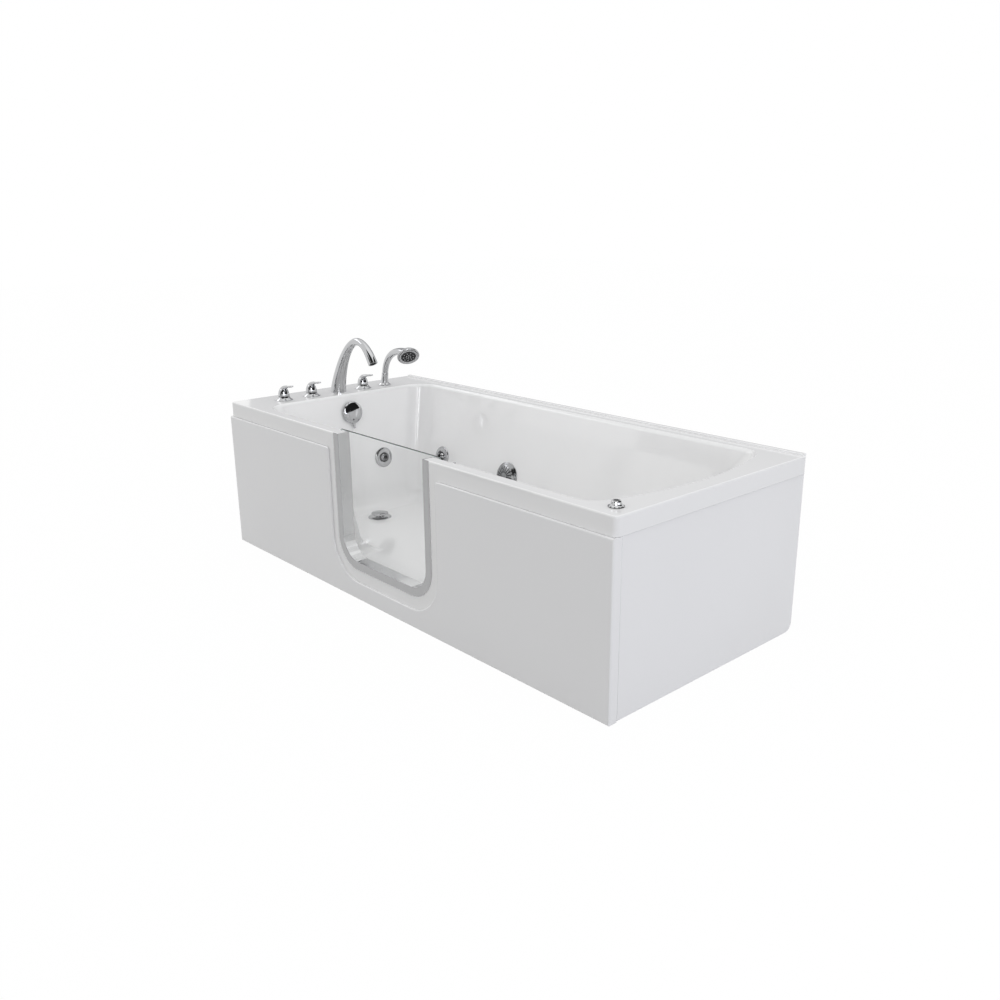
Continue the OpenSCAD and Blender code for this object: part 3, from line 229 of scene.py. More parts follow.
@dataclass(frozen=True)
class Finish(ABC):
    """A finish that is made once and shared."""

    name: str
    colour: Point

    @abstractmethod
    def draw(self, sheet: NodeSheet) -> None:
        """Draws the finish's nodes.

        Args:
            sheet: The empty tree that they go into.
        """

    def tone(self, share: float) -> Point:
        """Gives the colour times a share, and no brighter than white."""
        return tuple(min(1, c * share) for c in self.colour)

    def material(self) -> bpy.types.Material:
        """Gives the finish's material, making it the first time."""
        name = self.name + "_finish"
        found = bpy.data.materials.get(name)
        if not found:
            found = bpy.data.materials.new(name)
            self.draw(NodeSheet(found))
        return found


@dataclass(frozen=True)
class GlossAcrylic(Finish):
    """Vacuum-formed acrylic: very smooth, with a faint ripple and hardly any colour change."""

    rough: float = 0.14
    ripple: float = 0.06

    def draw(self, sheet: NodeSheet) -> None:
        """Draws the gloss and its ripple."""
        sheet.feed(
            sheet.surface(in_IOR=1.49, in_Coat_Weight=0.35, in_Coat_Roughness=0.05),
            Base_Color=sheet.ramp(sheet.noise(2.2, 2), self.tone(0.982), self.colour),
            Roughness=sheet.span(sheet.noise(9, 2), self.rough * 0.85, self.rough * 1.2),
            Normal=sheet.bump(sheet.noise(16, 1.5), self.ripple, 0.0012))


@dataclass(frozen=True)
class FibreglassBack(Finish):
    """Sprayed glass fibre on the shell's underside: matt, cream and full of chopped strands."""

    def draw(self, sheet: NodeSheet) -> None:
        """Draws the strands as stretched noise in two directions."""
        both = sheet.larger(sheet.noise(60, 4, (1, 9, 1)), sheet.noise(60, 4, (9, 1, 9)))
        sheet.feed(sheet.surface(in_Roughness=0.62, in_IOR=1.5),
                   Base_Color=sheet.ramp(both, self.tone(0.8), self.colour, 0.42, 0.68),
                   Normal=sheet.bump(both, 0.5, 0.003))


@dataclass(frozen=True)
class PolishedMetal(Finish):
    """Plated metal with the faint unevenness of a polishing wheel."""

    rough: float = 0.06
    wave: float = 0.03

    def draw(self, sheet: NodeSheet) -> None:
        """Draws the metal."""
        sheet.feed(
            sheet.surface(in_Metallic=1.0),
            Base_Color=sheet.ramp(sheet.noise(40, 2), self.tone(0.97), self.colour),
            Roughness=sheet.span(sheet.noise(120, 3), self.rough * 0.6, self.rough * 1.5),
            Normal=sheet.bump(sheet.noise(55, 2), self.wave, 0.0006))


@dataclass(frozen=True)
class BrushedMetal(Finish):
    """Metal with fine scratches that run one way."""

    rough: float = 0.22
    grain: Point = (1, 1, 40)

    def draw(self, sheet: NodeSheet) -> None:
        """Draws the scratches as stretched noise."""
        scratch = sheet.noise(45, 6, self.grain, 0.7)
        sheet.feed(
            sheet.surface(in_Metallic=1.0, in_Anisotropic=0.4),
            Base_Color=sheet.ramp(scratch, self.tone(0.9), self.colour, 0.35, 0.65),
            Roughness=sheet.span(scratch, self.rough * 0.7, self.rough * 1.35),
            Normal=sheet.bump(scratch, 0.08, 0.0003))


@dataclass(frozen=True)
class ClearGlass(Finish):
    """Toughened glass, clear through its face."""

    rough: float = 0.0
    ior: float = 1.45

    def draw(self, sheet: NodeSheet) -> None:
        """Draws glass with a hardly visible tint and waviness."""
        sheet.feed(
            sheet.surface(in_IOR=self.ior, in_Transmission_Weight=1.0, in_Roughness=self.rough),
            Base_Color=sheet.ramp(sheet.noise(3, 2), self.tone(0.985), self.colour),
            Normal=sheet.bump(sheet.noise(5, 1), 0.02, 0.0004))


@dataclass(frozen=True)
class PlainStuff(Finish):
    """Moulded plastic, rubber, paint or cast metal: a mottled colour with a fine skin texture."""

    rough: float = 0.5
    grain: float = 300
    relief: float = 0.12
    mottle: float = 0.07
    metal: float = 0.0

    def draw(self, sheet: NodeSheet) -> None:
        """Draws the mottled skin."""
        sheet.feed(
            sheet.surface(in_Metallic=self.metal),
            Base_Color=sheet.ramp(sheet.noise(14, 4), self.tone(1 - self.mottle),
                                  self.tone(1 + self.mottle)),
            Roughness=sheet.span(sheet.noise(35, 3), self.rough * 0.85, self.rough * 1.15),
            Normal=sheet.bump(sheet.noise(self.grain, 2), self.relief, 0.0004))


@dataclass(frozen=True)
class LayeredBoard(Finish):
    """Birch plywood with its grain along the tub."""

    def draw(self, sheet: NodeSheet) -> None:
        """Draws the grain as long noise."""
        grain = sheet.noise(7, 8, (1, 14, 30), 0.65)
        sheet.feed(sheet.surface(in_Roughness=0.6),
                   Base_Color=sheet.ramp(grain, self.tone(0.62), self.colour, 0.35, 0.6),
                   Normal=sheet.bump(grain, 0.25, 0.0008))


SHELL_ACRYLIC = GlossAcrylic("shell_acrylic", (0.91, 0.91, 0.91), 0.08)
PANEL_ACRYLIC = GlossAcrylic("panel_acrylic", (0.893, 0.893, 0.898), 0.12, 0.05)
FIBREGLASS = FibreglassBack("fibreglass_back", (0.66, 0.63, 0.52))
CHROME = PolishedMetal("tap_chrome", (0.54, 0.544, 0.552), 0.05, 0.012)
DARK_CHROME = PolishedMetal("strainer_chrome", (0.36, 0.365, 0.37), 0.16)
# One polished steel in two copies for the door frame: a darker one that paints the face's dark
# reflection, and a lighter one that paints light on the returns in the bay.
STEEL_PAINTED_DARK = PolishedMetal("door_frame_steel_painted_dark", (0.385, 0.387, 0.39), 0.1, 0.03)
STEEL_PAINTED_LIGHT = PolishedMetal("door_frame_steel_painted_lit", (0.62, 0.623, 0.627), 0.1, 0.03)
HINGE_STEEL = BrushedMetal("hinge_steel", (0.66, 0.66, 0.67), 0.2)
ZINC = PlainStuff("zinc_plate", (0.55, 0.56, 0.58), 0.35, 90, 0.15, 0.1, 1.0)
GLASS = ClearGlass("door_glass_clear", (0.985, 0.99, 0.988), ior=1.18)
GLASS_EDGE = ClearGlass("door_glass_edge", (0.42, 0.62, 0.56), 0.12)
SEAL = PlainStuff("seal_rubber", (0.42, 0.43, 0.43), 0.6)
FRAME_PAINT = PlainStuff("frame_paint", (0.17, 0.18, 0.19), 0.42, 220, 0.3)
BOARD = LayeredBoard("base_board_birch", (0.56, 0.38, 0.2))
BRASS = PlainStuff("valve_brass", (0.6, 0.42, 0.17), 0.3, 120, 0.15, 0.12, 1.0)
COPPER = PlainStuff("pipe_copper", (0.62, 0.31, 0.18), 0.28, 60, 0.08, 0.15, 1.0)
PVC = PlainStuff("white_pvc", (0.72, 0.72, 0.7), 0.35, 150, 0.06, 0.03)
# Black plastic for the real black parts, and also painted shade in the jets' grooves, the suction
# cover's slots and the air knob's dimple, notches and foot.
BLACK_PLASTIC_AND_PAINTED_SHADE = PlainStuff("black_plastic", (0.018, 0.018, 0.02), 0.45, 260, 0.3, 0.2)
# Painted shade: near-black that stands for the shade inside the jets' bores.
BORE_PAINTED_SHADE = PlainStuff("bore_painted_shade", (0.005, 0.005, 0.006), 0.85, 260, 0.3, 0.2)
FOOT_RUBBER = PlainStuff("foot_plastic", (0.03, 0.03, 0.032), 0.6, 240, 0.3, 0.2)


# ---------------------------------------------------------------- modelling moves


class Join(Enum):
    """How a second solid is combined with a first."""

    ADD = "UNION"
    CUT = "DIFFERENCE"


def circle(radius: float, steps: int, height: float = 0.0) -> Ring:
    """Gives the points of a level circle.

    Args:
        radius: Its radius.
        steps: Its number of points.
        height: Its height.

    Returns:
        The points.
    """
    return [(radius * math.cos(2 * math.pi * i / steps),
             radius * math.sin(2 * math.pi * i / steps), height) for i in range(steps)]


def arc(centre: Flat, radius: float, start: float, end: float, steps: int) -> list[Flat]:
    """Gives points along a flat arc.

    Args:
        centre: Its centre.
        radius: Its radius.
        start: The first angle in degrees.
        end: The last angle in degrees.
        steps: The number of parts.

    Returns:
        The points, both ends among them.
    """
    turns = (math.radians(start + (end - start) * i / steps) for i in range(steps + 1))
    return [(centre[0] + radius * math.cos(t), centre[1] + radius * math.sin(t)) for t in turns]


def curve(points: Sequence[Flat], t: float) -> Vector:
    """Gives a point on a cubic curve.

    Args:
        points: Its four control points.
        t: How far along it the point is, from 0 to 1.

    Returns:
        The point.
    """
    u = 1 - t
    weights = (u * u * u, 3 * u * u * t, 3 * u * t * t, t * t * t)
    return sum((Vector(p) * w for p, w in zip(points, weights)), Vector((0, 0)))


class Bench:
    """The moves by which every new piece is modelled."""

    @staticmethod
    def clear() -> None:
        """Leaves edit mode and deselects everything."""
        if bpy.context.object and bpy.context.object.mode != "OBJECT":
            bpy.ops.object.mode_set(mode="OBJECT")
        bpy.ops.object.select_all(action="DESELECT")

    @staticmethod
    def only(obj: Piece) -> None:
        """Selects one object and makes it active.

        Args:
            obj: The object.
        """
        Bench.clear()
        obj.select_set(True)
        bpy.context.view_layer.objects.active = obj

    @staticmethod
    def loft(name: str, rings: Sequence[Ring], caps: tuple[bool, bool] = (True, True),
             place: Matrix | None = None) -> Piece:
        """Extrudes a ring of edges from one outline to the next.

        Args:
            name: The piece's name.
            rings: The outlines in millimetres, all with as many points.
            caps: Whether the first and last outlines are closed with a face.
            place: Where the outlines' own frame stands.

        Returns:
            The new piece.
        """
        place = place or Matrix.Identity(4)
        count = len(rings[0])
        Bench.clear()
        bpy.ops.mesh.primitive_circle_add(vertices=count, radius=1, fill_type="NOTHING")
        obj = bpy.context.object
        obj.name = obj.data.name = name
        bpy.ops.object.mode_set(mode="EDIT")
        row = list(range(count))
        rows = []
        for i, ring in enumerate(rings):
            if i:
                bpy.ops.mesh.extrude_region_move()
            mesh = bmesh.from_edit_mesh(obj.data)
            mesh.verts.index_update()
            mesh.verts.ensure_lookup_table()
            if i:
                known = set(row)
                grown = {}
                for vert in mesh.verts:
                    if vert.select:
                        for edge in vert.link_edges:
                            other = edge.other_vert(vert).index
                            if other in known:
                                grown[other] = vert.index
                row = [grown[k] for k in row]
            for k, at in zip(row, ring):
                mesh.verts[k].co = (place @ Vector(at)) * MM
            rows.append(row)
            bmesh.update_edit_mesh(obj.data)
        for row, wanted in ((rows[0], caps[0]), (rows[-1], caps[1])):
            if wanted:
                bpy.ops.mesh.select_all(action="DESELECT")
                mesh = bmesh.from_edit_mesh(obj.data)
                mesh.verts.ensure_lookup_table()
                for k in row:
                    mesh.verts[k].select_set(True)
                mesh.select_flush(True)
                bpy.ops.mesh.edge_face_add()
        Bench.tidy()
        bpy.ops.object.mode_set(mode="OBJECT")
        return obj

    @staticmethod
    def tidy() -> None:
        """Merges doubles and turns the faces outwards, in edit mode."""
        bpy.ops.mesh.select_all(action="SELECT")
        bpy.ops.mesh.remove_doubles(threshold=1e-6)
        bpy.ops.mesh.normals_make_consistent(inside=False)

    @staticmethod
    def turned(name: str, profile: Sequence[Flat], steps: int = 64,
               place: Matrix | None = None, closed: bool = False) -> Piece:
        """Turns a profile of radius and height about its axis.

        Args:
            name: The piece's name.
            profile: Radius and height of each point.
            steps: The number of sides.
            place: Where the piece's axis stands.
            closed: Whether the profile goes back to its first point, as a ring's does.

        Returns:
            The new piece.
        """
        points = list(profile) + ([profile[0]] if closed else [])
        rings = [circle(r, steps, z) for r, z in points]
        caps = (not closed and points[0][0] > 0, not closed and points[-1][0] > 0)
        return Bench.loft(name, rings, caps, place)

    @staticmethod
    def swept(name: str, path: Sequence[Flat], wide: Sequence[float], deep: Sequence[float],
              place: Matrix, steps: int = 32) -> Piece:
        """Makes a bar that follows a curve in its own XZ plane.

        Args:
            name: The piece's name.
            path: The points it follows.
            wide: Half of its width across the plane at each point.
            deep: Half of its depth in the plane at each point.
            place: Where its frame stands.
            steps: The number of sides.

        Returns:
            The new piece.
        """
        rings = []
        last = len(path) - 1
        for i, at in enumerate(path):
            ahead = Vector(path[min(i + 1, last)]) - Vector(path[max(i - 1, 0)])
            ahead.normalize()
            side = Vector((ahead.y, -ahead.x))
            rings.append([(at[0] + side.x * deep[i] * x, wide[i] * y, at[1] + side.y * deep[i] * x)
                          for x, y, _ in circle(1, steps)])
        return Bench.loft(name, rings, (wide[0] > 0.01, wide[-1] > 0.01), place)

    @staticmethod
    def plate(name: str, outline: Sequence[Flat], low: float, high: float, place: Matrix) -> Piece:
        """Makes a flat plate by extruding an outline.

        Args:
            name: The piece's name.
            outline: Its flat outline.
            low: The height of its first face.
            high: The height of its other face.
            place: Where the outline's frame stands.

        Returns:
            The new piece.
        """
        rings = [[(x, y, z) for x, y in outline] for z in (low, high)]
        return Bench.loft(name, rings, (True, True), place)

    @staticmethod
    def block(name: str, low: Point, high: Point) -> Piece:
        """Makes a box between two corners, ready for its edges to be rounded.

        Args:
            name: The piece's name.
            low: The lowest corner.
            high: The highest corner.

        Returns:
            The new piece.
        """
        Bench.clear()
        bpy.ops.mesh.primitive_cube_add(size=1)
        obj = bpy.context.object
        obj.name = obj.data.name = name
        size = [(b - a) * MM for a, b in zip(low, high)]
        middle = [(a + b) / 2 * MM for a, b in zip(low, high)]
        bpy.ops.object.mode_set(mode="EDIT")
        bpy.ops.transform.resize(value=size)
        bpy.ops.transform.translate(value=middle)
        bpy.ops.object.mode_set(mode="OBJECT")
        return obj

    @staticmethod
    def bevel(obj: Piece, pick: EdgePick, width: float, parts: int = 3) -> None:
        """Rounds the edges that a test picks.

        Args:
            obj: The piece.
            pick: The test of an edge.
            width: The rounding's width in millimetres.
            parts: Its number of steps.
        """
        Bench.only(obj)
        bpy.ops.object.mode_set(mode="EDIT")
        bpy.ops.mesh.select_mode(type="EDGE")
        bpy.ops.mesh.select_all(action="DESELECT")
        mesh = bmesh.from_edit_mesh(obj.data)
        for edge in mesh.edges:
            if len(edge.link_faces) == 2 and pick(edge):
                edge.select_set(True)
        bmesh.update_edit_mesh(obj.data)
        bpy.ops.mesh.bevel(offset=width * MM, segments=parts, affect="EDGES",
                           clamp_overlap=False)
        bpy.ops.mesh.select_mode(type="VERT")
        Bench.tidy()
        bpy.ops.object.mode_set(mode="OBJECT")

    @staticmethod
    def combine(obj: Piece, others: Sequence[Piece], how: Join) -> None:
        """Adds other solids to a piece or cuts them out of it.

        Args:
            obj: The piece.
            others: The other solids, which are used up.
            how: Whether they are added or cut out.
        """
        for other in others:
            Bench.only(obj)
            step = obj.modifiers.new("combine", "BOOLEAN")
            step.operation = how.value
            step.solver = "EXACT"
            step.object = other
            bpy.ops.object.modifier_apply(modifier=step.name)
            bpy.data.objects.remove(other, do_unlink=True)

    @staticmethod
    def merge(obj: Piece, others: Sequence[Piece]) -> None:
        """Makes other pieces part of a piece's mesh, as loose shells.

        Args:
            obj: The piece.
            others: The other pieces, which are used up.
        """
        Bench.only(obj)
        for other in others:
            other.select_set(True)
        bpy.ops.object.join()

    @staticmethod
    def shade(obj: Piece, angle: float = 32) -> None:
        """Shades smoothly over blunt edges, and keeps large flat faces flat.

        Args:
            obj: The piece.
            angle: The angle in degrees over which edges stay sharp.
        """
        Bench.only(obj)
        bpy.ops.object.shade_smooth_by_angle(angle=math.radians(angle))
        step = obj.modifiers.new("flatten", "WEIGHTED_NORMAL")
        step.keep_sharp = True
        bpy.ops.object.modifier_apply(modifier=step.name)

    @staticmethod
    def coat(obj: Piece, finishes: Sequence[Finish],
             choose: Callable[[bpy.types.MeshPolygon], int] | None = None) -> None:
        """Gives a piece its finishes.

        Args:
            obj: The piece.
            finishes: Its finishes.
            choose: The number of a face's finish, where there are more than one.
        """
        obj.data.materials.clear()
        for finish in finishes:
            obj.data.materials.append(finish.material())
        if choose:
            for face in obj.data.polygons:
                face.material_index = choose(face)

    @staticmethod
    def two_tone(obj: Piece, places: Sequence[Matrix],
                 pick: Callable[[Vector, Vector], bool], finish: Finish,
                 picked: Finish) -> None:
        """Gives a piece one finish, and another on the faces that a test picks: painted light on
        some pieces, painted shade on others.

        Args:
            obj: The piece.
            places: The axes that the test counts from.
            pick: The test, given a face's middle and normal as seen from an axis.
            finish: The finish of all its other faces.
            picked: The finish of the faces that are picked, the copy that carries the painted
                light and shade.
        """
        axes = [place.inverted() for place in places]
        Bench.coat(obj, (finish, picked), lambda face: int(any(
            pick(axis @ (face.center / MM), axis.to_3x3() @ face.normal) for axis in axes)))

    @staticmethod
    def hand_over(obj: Piece, body: str, finish: Finish | None, slot: str,
                  nodes: Sequence[str] = (), angle: float = 32) -> Piece:
        """Shades, dresses and hands a finished piece to its body.

        Args:
            obj: The piece.
            body: The body that it moves with.
            finish: Its finish, or None where its faces already have theirs.
            slot: The record's slot of that finish. It is not used.
            nodes: The CAD nodes that it stands for.
            angle: The angle in degrees over which edges stay sharp.

        Returns:
            The piece.
        """
        Bench.shade(obj, angle)
        if finish:
            Bench.coat(obj, [finish])
        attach(obj, body)
        if nodes:
            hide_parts(*nodes)
        log.info("%s: %d faces on %s", obj.name, len(obj.data.polygons), body)
        return obj


def sharp(edge: Edge, degrees: float = 40) -> bool:
    """Tells whether two faces meet at an edge by more than an angle."""
    return edge.calc_face_angle(0) > math.radians(degrees)


def standing(edge: Edge, rise: float = 10) -> bool:
    """Tells whether an edge's ends differ in height by more than a rise in millimetres."""
    return abs(edge.verts[0].co.z - edge.verts[1].co.z) / MM > rise


def at_height(edge: Edge, height: float, slack: float = 0.3) -> bool:
    """Tells whether both ends of an edge lie at a height in millimetres."""
    return all(abs(v.co.z / MM - height) < slack for v in edge.verts)


def spoke(place: Matrix, degrees: float, out: float) -> Matrix:
    """Gives a place turned about another's axis and then moved out from it."""
    return (place @ Matrix.Rotation(math.radians(degrees), 4, "Z")
            @ Matrix.Translation((out, 0, 0)))


# ---------------------------------------------------------------- the tub's places


@dataclass(frozen=True)
class Places:
    """Where things stand, read from the frame where the frame gives it."""

    rim_x: float
    mid_y: float
    rim_y: float
    rim_z: float

    @classmethod
    def from_frame(cls) -> "Places":
        """Reads the rim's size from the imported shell."""
        low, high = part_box("tub_shell")
        return cls(high.x / MM, (low.y + high.y) / 2 / MM, (high.y - low.y) / 2 / MM,
                   high.z / MM - BEAD_H)

    def at(self, x: float, y: float, z: float) -> Matrix:
        """Gives the place of a point whose y counts from the rim's middle line."""
        return Matrix.Translation((x, y + self.mid_y, z))

    def flat(self) -> Matrix:
        """Gives the frame of level outlines."""
        return self.at(0, 0, 0)

    def upright(self) -> Matrix:
        """Gives the frame of outlines in X and Z, whose own height runs towards -Y."""
        return self.flat() @ Matrix.Rotation(math.pi / 2, 4, "X")

    def block(self, name: str, low: Point, high: Point) -> Piece:
        """Makes a box whose y counts from the rim's middle line.

        Args:
            name: The piece's name.
            low: The lowest corner.
            high: The highest corner.

        Returns:
            The new piece.
        """
        shift = (0, self.mid_y, 0)
        return Bench.block(name, *(tuple(a + b for a, b in zip(corner, shift))
                                   for corner in (low, high)))


class Wall(Enum):
    """The basin's walls that carry fittings."""

    FOOT = "foot"
    BACK = "back"
    FRONT = "front"


@dataclass
class Basin:
    """The form of the basin's hollow, in the same terms as the part's source."""

    places: Places
    tap_deck: float = 175
    front_deck: float = 45
    back_deck: float = 60
    head_deck: float = 59
    head_bow_r: float = 950
    floor_z: float = 86
    side_lean: float = 12
    foot_lean: float = 8
    head_lean: float = 37
    cove_r: float = 70
    head_cove_r: float = 110
    mouth_r: float = 80
    head_mouth_r: float = 60
    roll: float = 6
    roll_depth: float = 12
    roll_power: float = 1.6
    roll_steps: int = 7
    cove_steps: int = 12
    bow_steps: int = 14
    jet_x: float = -560
    jet_apart: float = 120
    jet_z: float = 268
    suction_x: float = -190
    suction_z: float = 262
    overflow_z: float = 457
    drain_x: float = -572

    def __post_init__(self) -> None:
        """Works out the mouth's outline and the coves' centres."""
        p = self.places
        self.foot_x = -p.rim_x + self.tap_deck
        self.head_x = p.rim_x - self.head_deck
        self.front_y = -p.rim_y + self.front_deck
        self.back_y = p.rim_y - self.back_deck
        self.middle = (self.front_y + self.back_y) / 2
        self.half = (self.back_y - self.front_y) / 2
        self.roll_z = p.rim_z - self.roll_depth
        self.foot_cove = (self.foot_x + self.inset(self.cove_r, self.foot_lean),
                          self.half - self.inset(self.cove_r, self.side_lean))
        self.head_cove = (self.head_x - self.inset(self.head_cove_r, self.head_lean),
                          self.half - self.inset(self.head_cove_r, self.side_lean))
        self.bow_x = self.head_x - self.head_bow_r
        self.bow_r = self.head_bow_r - self.head_mouth_r
        self.bow_end = math.degrees(math.asin((self.half - self.head_mouth_r) / self.bow_r))

    def inset(self, radius: float, lean: float) -> float:
        """Gives the distance from the mouth's edge in to a cove's centre."""
        lean = math.radians(lean)
        return (radius + (self.roll_z - self.floor_z - radius) * math.sin(lean)) / math.cos(lean)

    def columns(self) -> list[tuple]:
        """Gives, for each direction round the mouth, its arc at the top and its ball below.

        Returns:
            Direction in degrees, arc centre, arc radius, ball centre and ball radius.
        """
        turn, steps = math.radians(self.bow_end), self.bow_steps
        bow = ((self.bow_x, 0), self.head_bow_r, self.head_cove, self.head_cove_r)
        corner = ((self.bow_x + self.bow_r * math.cos(turn), self.bow_r * math.sin(turn)),
                  self.head_mouth_r, self.head_cove, self.head_cove_r)
        foot = ((self.foot_x + self.mouth_r, self.half - self.mouth_r), self.mouth_r,
                self.foot_cove, self.cove_r)
        columns = []
        for side in (1, -1):
            turns = [(self.bow_end * i / steps, *bow) for i in range(steps + 1)]
            turns += [(self.bow_end + (90 - self.bow_end) * i / steps, *corner)
                      for i in range(1, steps + 1)]
            turns += [(90 + 90 * i / (2 * steps), *foot) for i in range(2 * steps + 1)]
            columns += [(side * angle, (top[0], side * top[1]), top_r,
                         (ball[0], side * ball[1]), ball_r)
                        for angle, top, top_r, ball, ball_r in turns[::side]]
        return columns

    def rings(self, grow: float, top: float, roll: float) -> list[Ring]:
        """Gives the level outlines of the hollow's form, from the top down.

        Args:
            grow: How much the form is grown.
            top: The height that it reaches up to.
            roll: How far its mouth flares at the rim.

        Returns:
            The outlines.
        """
        columns = self.columns()
        heights = [(top, roll)]
        if roll:
            dips = [math.sin(math.radians(90 * i / self.roll_steps))
                    for i in range(self.roll_steps + 1)]
            heights += [(self.places.rim_z - self.roll_depth * dip,
                         roll * (1 - dip) ** self.roll_power) for dip in dips]
        else:
            heights.append((self.roll_z, 0))
        rings = []
        for z, out in heights:
            ring = []
            for angle, arc_at, arc_r, _, _ in columns:
                turn = math.radians(angle)
                reach = arc_r + grow + out
                ring.append((arc_at[0] + reach * math.cos(turn),
                             self.middle + arc_at[1] + reach * math.sin(turn), z))
            rings.append(ring)
        for step in range(self.cove_steps + 1):
            ring = []
            for angle, arc_at, arc_r, ball, ball_r in columns:
                turn = math.radians(angle)
                ahead = Vector((math.cos(turn), math.sin(turn)))
                across = ahead.dot(Vector(arc_at) - Vector(ball)) + arc_r + grow
                up = self.roll_z - self.floor_z - ball_r
                lean = math.acos((ball_r + grow) / math.hypot(across, up)) - math.atan2(up, across)
                dip = lean + (math.pi / 2 - lean) * step / self.cove_steps
                reach = (ball_r + grow) * math.cos(dip)
                ring.append((ball[0] + reach * ahead.x, self.middle + ball[1] + reach * ahead.y,
                             self.floor_z + ball_r - (ball_r + grow) * math.sin(dip)))
            rings.append(ring)
        return rings

    def solid(self, name: str, grow: float, top: float, roll: float) -> Piece:
        """Makes the basin's form as a closed solid."""
        return Bench.loft(name, self.rings(grow, top, roll), (True, True), self.places.flat())

    def wall_place(self, wall: Wall, along: float, z: float) -> Matrix:
        """Gives a place on a wall, with +Z out of the wall into the basin.

        Args:
            wall: The wall.
            along: The y of a point on the foot wall, or the x on a long wall.
            z: The point's height.

        Returns:
            The place.
        """
        side = math.radians(90 - self.side_lean)
        fall = (self.roll_z - z) * math.tan(math.radians(self.side_lean))
        if wall is Wall.FOOT:
            x = self.foot_x + (self.roll_z - z) * math.tan(math.radians(self.foot_lean))
            turn = Matrix.Rotation(math.radians(90 - self.foot_lean), 4, "Y")
            return self.places.at(x, along, z) @ turn
        if wall is Wall.BACK:
            return self.places.at(along, self.back_y - fall, z) @ Matrix.Rotation(side, 4, "X")
        return self.places.at(along, self.front_y + fall, z) @ Matrix.Rotation(-side, 4, "X")

    def jets(self) -> list[Matrix]:
        """Gives the places of the two jets at the foot, the one behind and the one in front."""
        spots = ((Wall.FOOT, self.middle - self.jet_apart),
                 (Wall.FOOT, self.middle + self.jet_apart),
                 (Wall.BACK, self.jet_x), (Wall.FRONT, self.jet_x))
        return [self.wall_place(wall, along, self.jet_z) for wall, along in spots]

    def suction(self) -> Matrix:
        """Gives the suction cover's place."""
        return self.wall_place(Wall.BACK, self.suction_x, self.suction_z)

    def overflow(self) -> Matrix:
        """Gives the overflow's place."""
        return self.wall_place(Wall.FOOT, self.middle, self.overflow_z)

    def drain(self) -> Matrix:
        """Gives the drain's place."""
        return self.places.at(self.drain_x, self.middle, self.floor_z)


@dataclass
class DoorOpening:
    """The U of the door's clear opening and everything that follows it."""

    half: float = 211
    sill_z: float = 127
    corner_r: float = 73
    top_z: float = 525
    steps: int = 14

    def path(self, grow: float, top: float | None = None) -> list[Flat]:
        """Gives the open U, grown outwards, from its top left round to its top right.

        Args:
            grow: How far it is grown.
            top: The height of its two ends.

        Returns:
            Points in X and Z.
        """
        radius = self.corner_r + grow
        inner = self.half - self.corner_r
        height = self.sill_z + self.corner_r
        top = self.top_z if top is None else top
        return ([(-inner - radius, top)]
                + arc((-inner, height), radius, 180, 270, self.steps)
                + arc((inner, height), radius, 270, 360, self.steps)
                + [(inner + radius, top)])

    def band(self, name: str, profile: Sequence[Flat], places: Places) -> Piece:
        """Draws a profile of growth and y along the U.

        Args:
            name: The piece's name.
            profile: The closed profile.
            places: The tub's places.

        Returns:
            The new piece.
        """
        paths = [(self.path(grow), y) for grow, y in profile]
        rings = [[(path[i][0], y, path[i][1]) for path, y in paths]
                 for i in range(len(paths[0][0]))]
        return Bench.loft(name, rings, (True, True), places.flat())


def tongue(left: float, right: float, low: float, top: float, r_left: float, r_right: float,
           steps: int = 12) -> list[Flat]:
    """Gives a plate's outline with square upper corners and rounded lower ones.

    Args:
        left: Its left edge.
        right: Its right edge.
        low: Its lower edge.
        top: Its upper edge.
        r_left: The radius of its lower left corner.
        r_right: The radius of its lower right corner.
        steps: The parts in each corner.

    Returns:
        The outline.
    """
    return ([(left, top)] + arc((left + r_left, low + r_left), r_left, 180, 270, steps)
            + arc((right - r_right, low + r_right), r_right, 270, 360, steps) + [(right, top)])


# ---------------------------------------------------------------- shell and panels


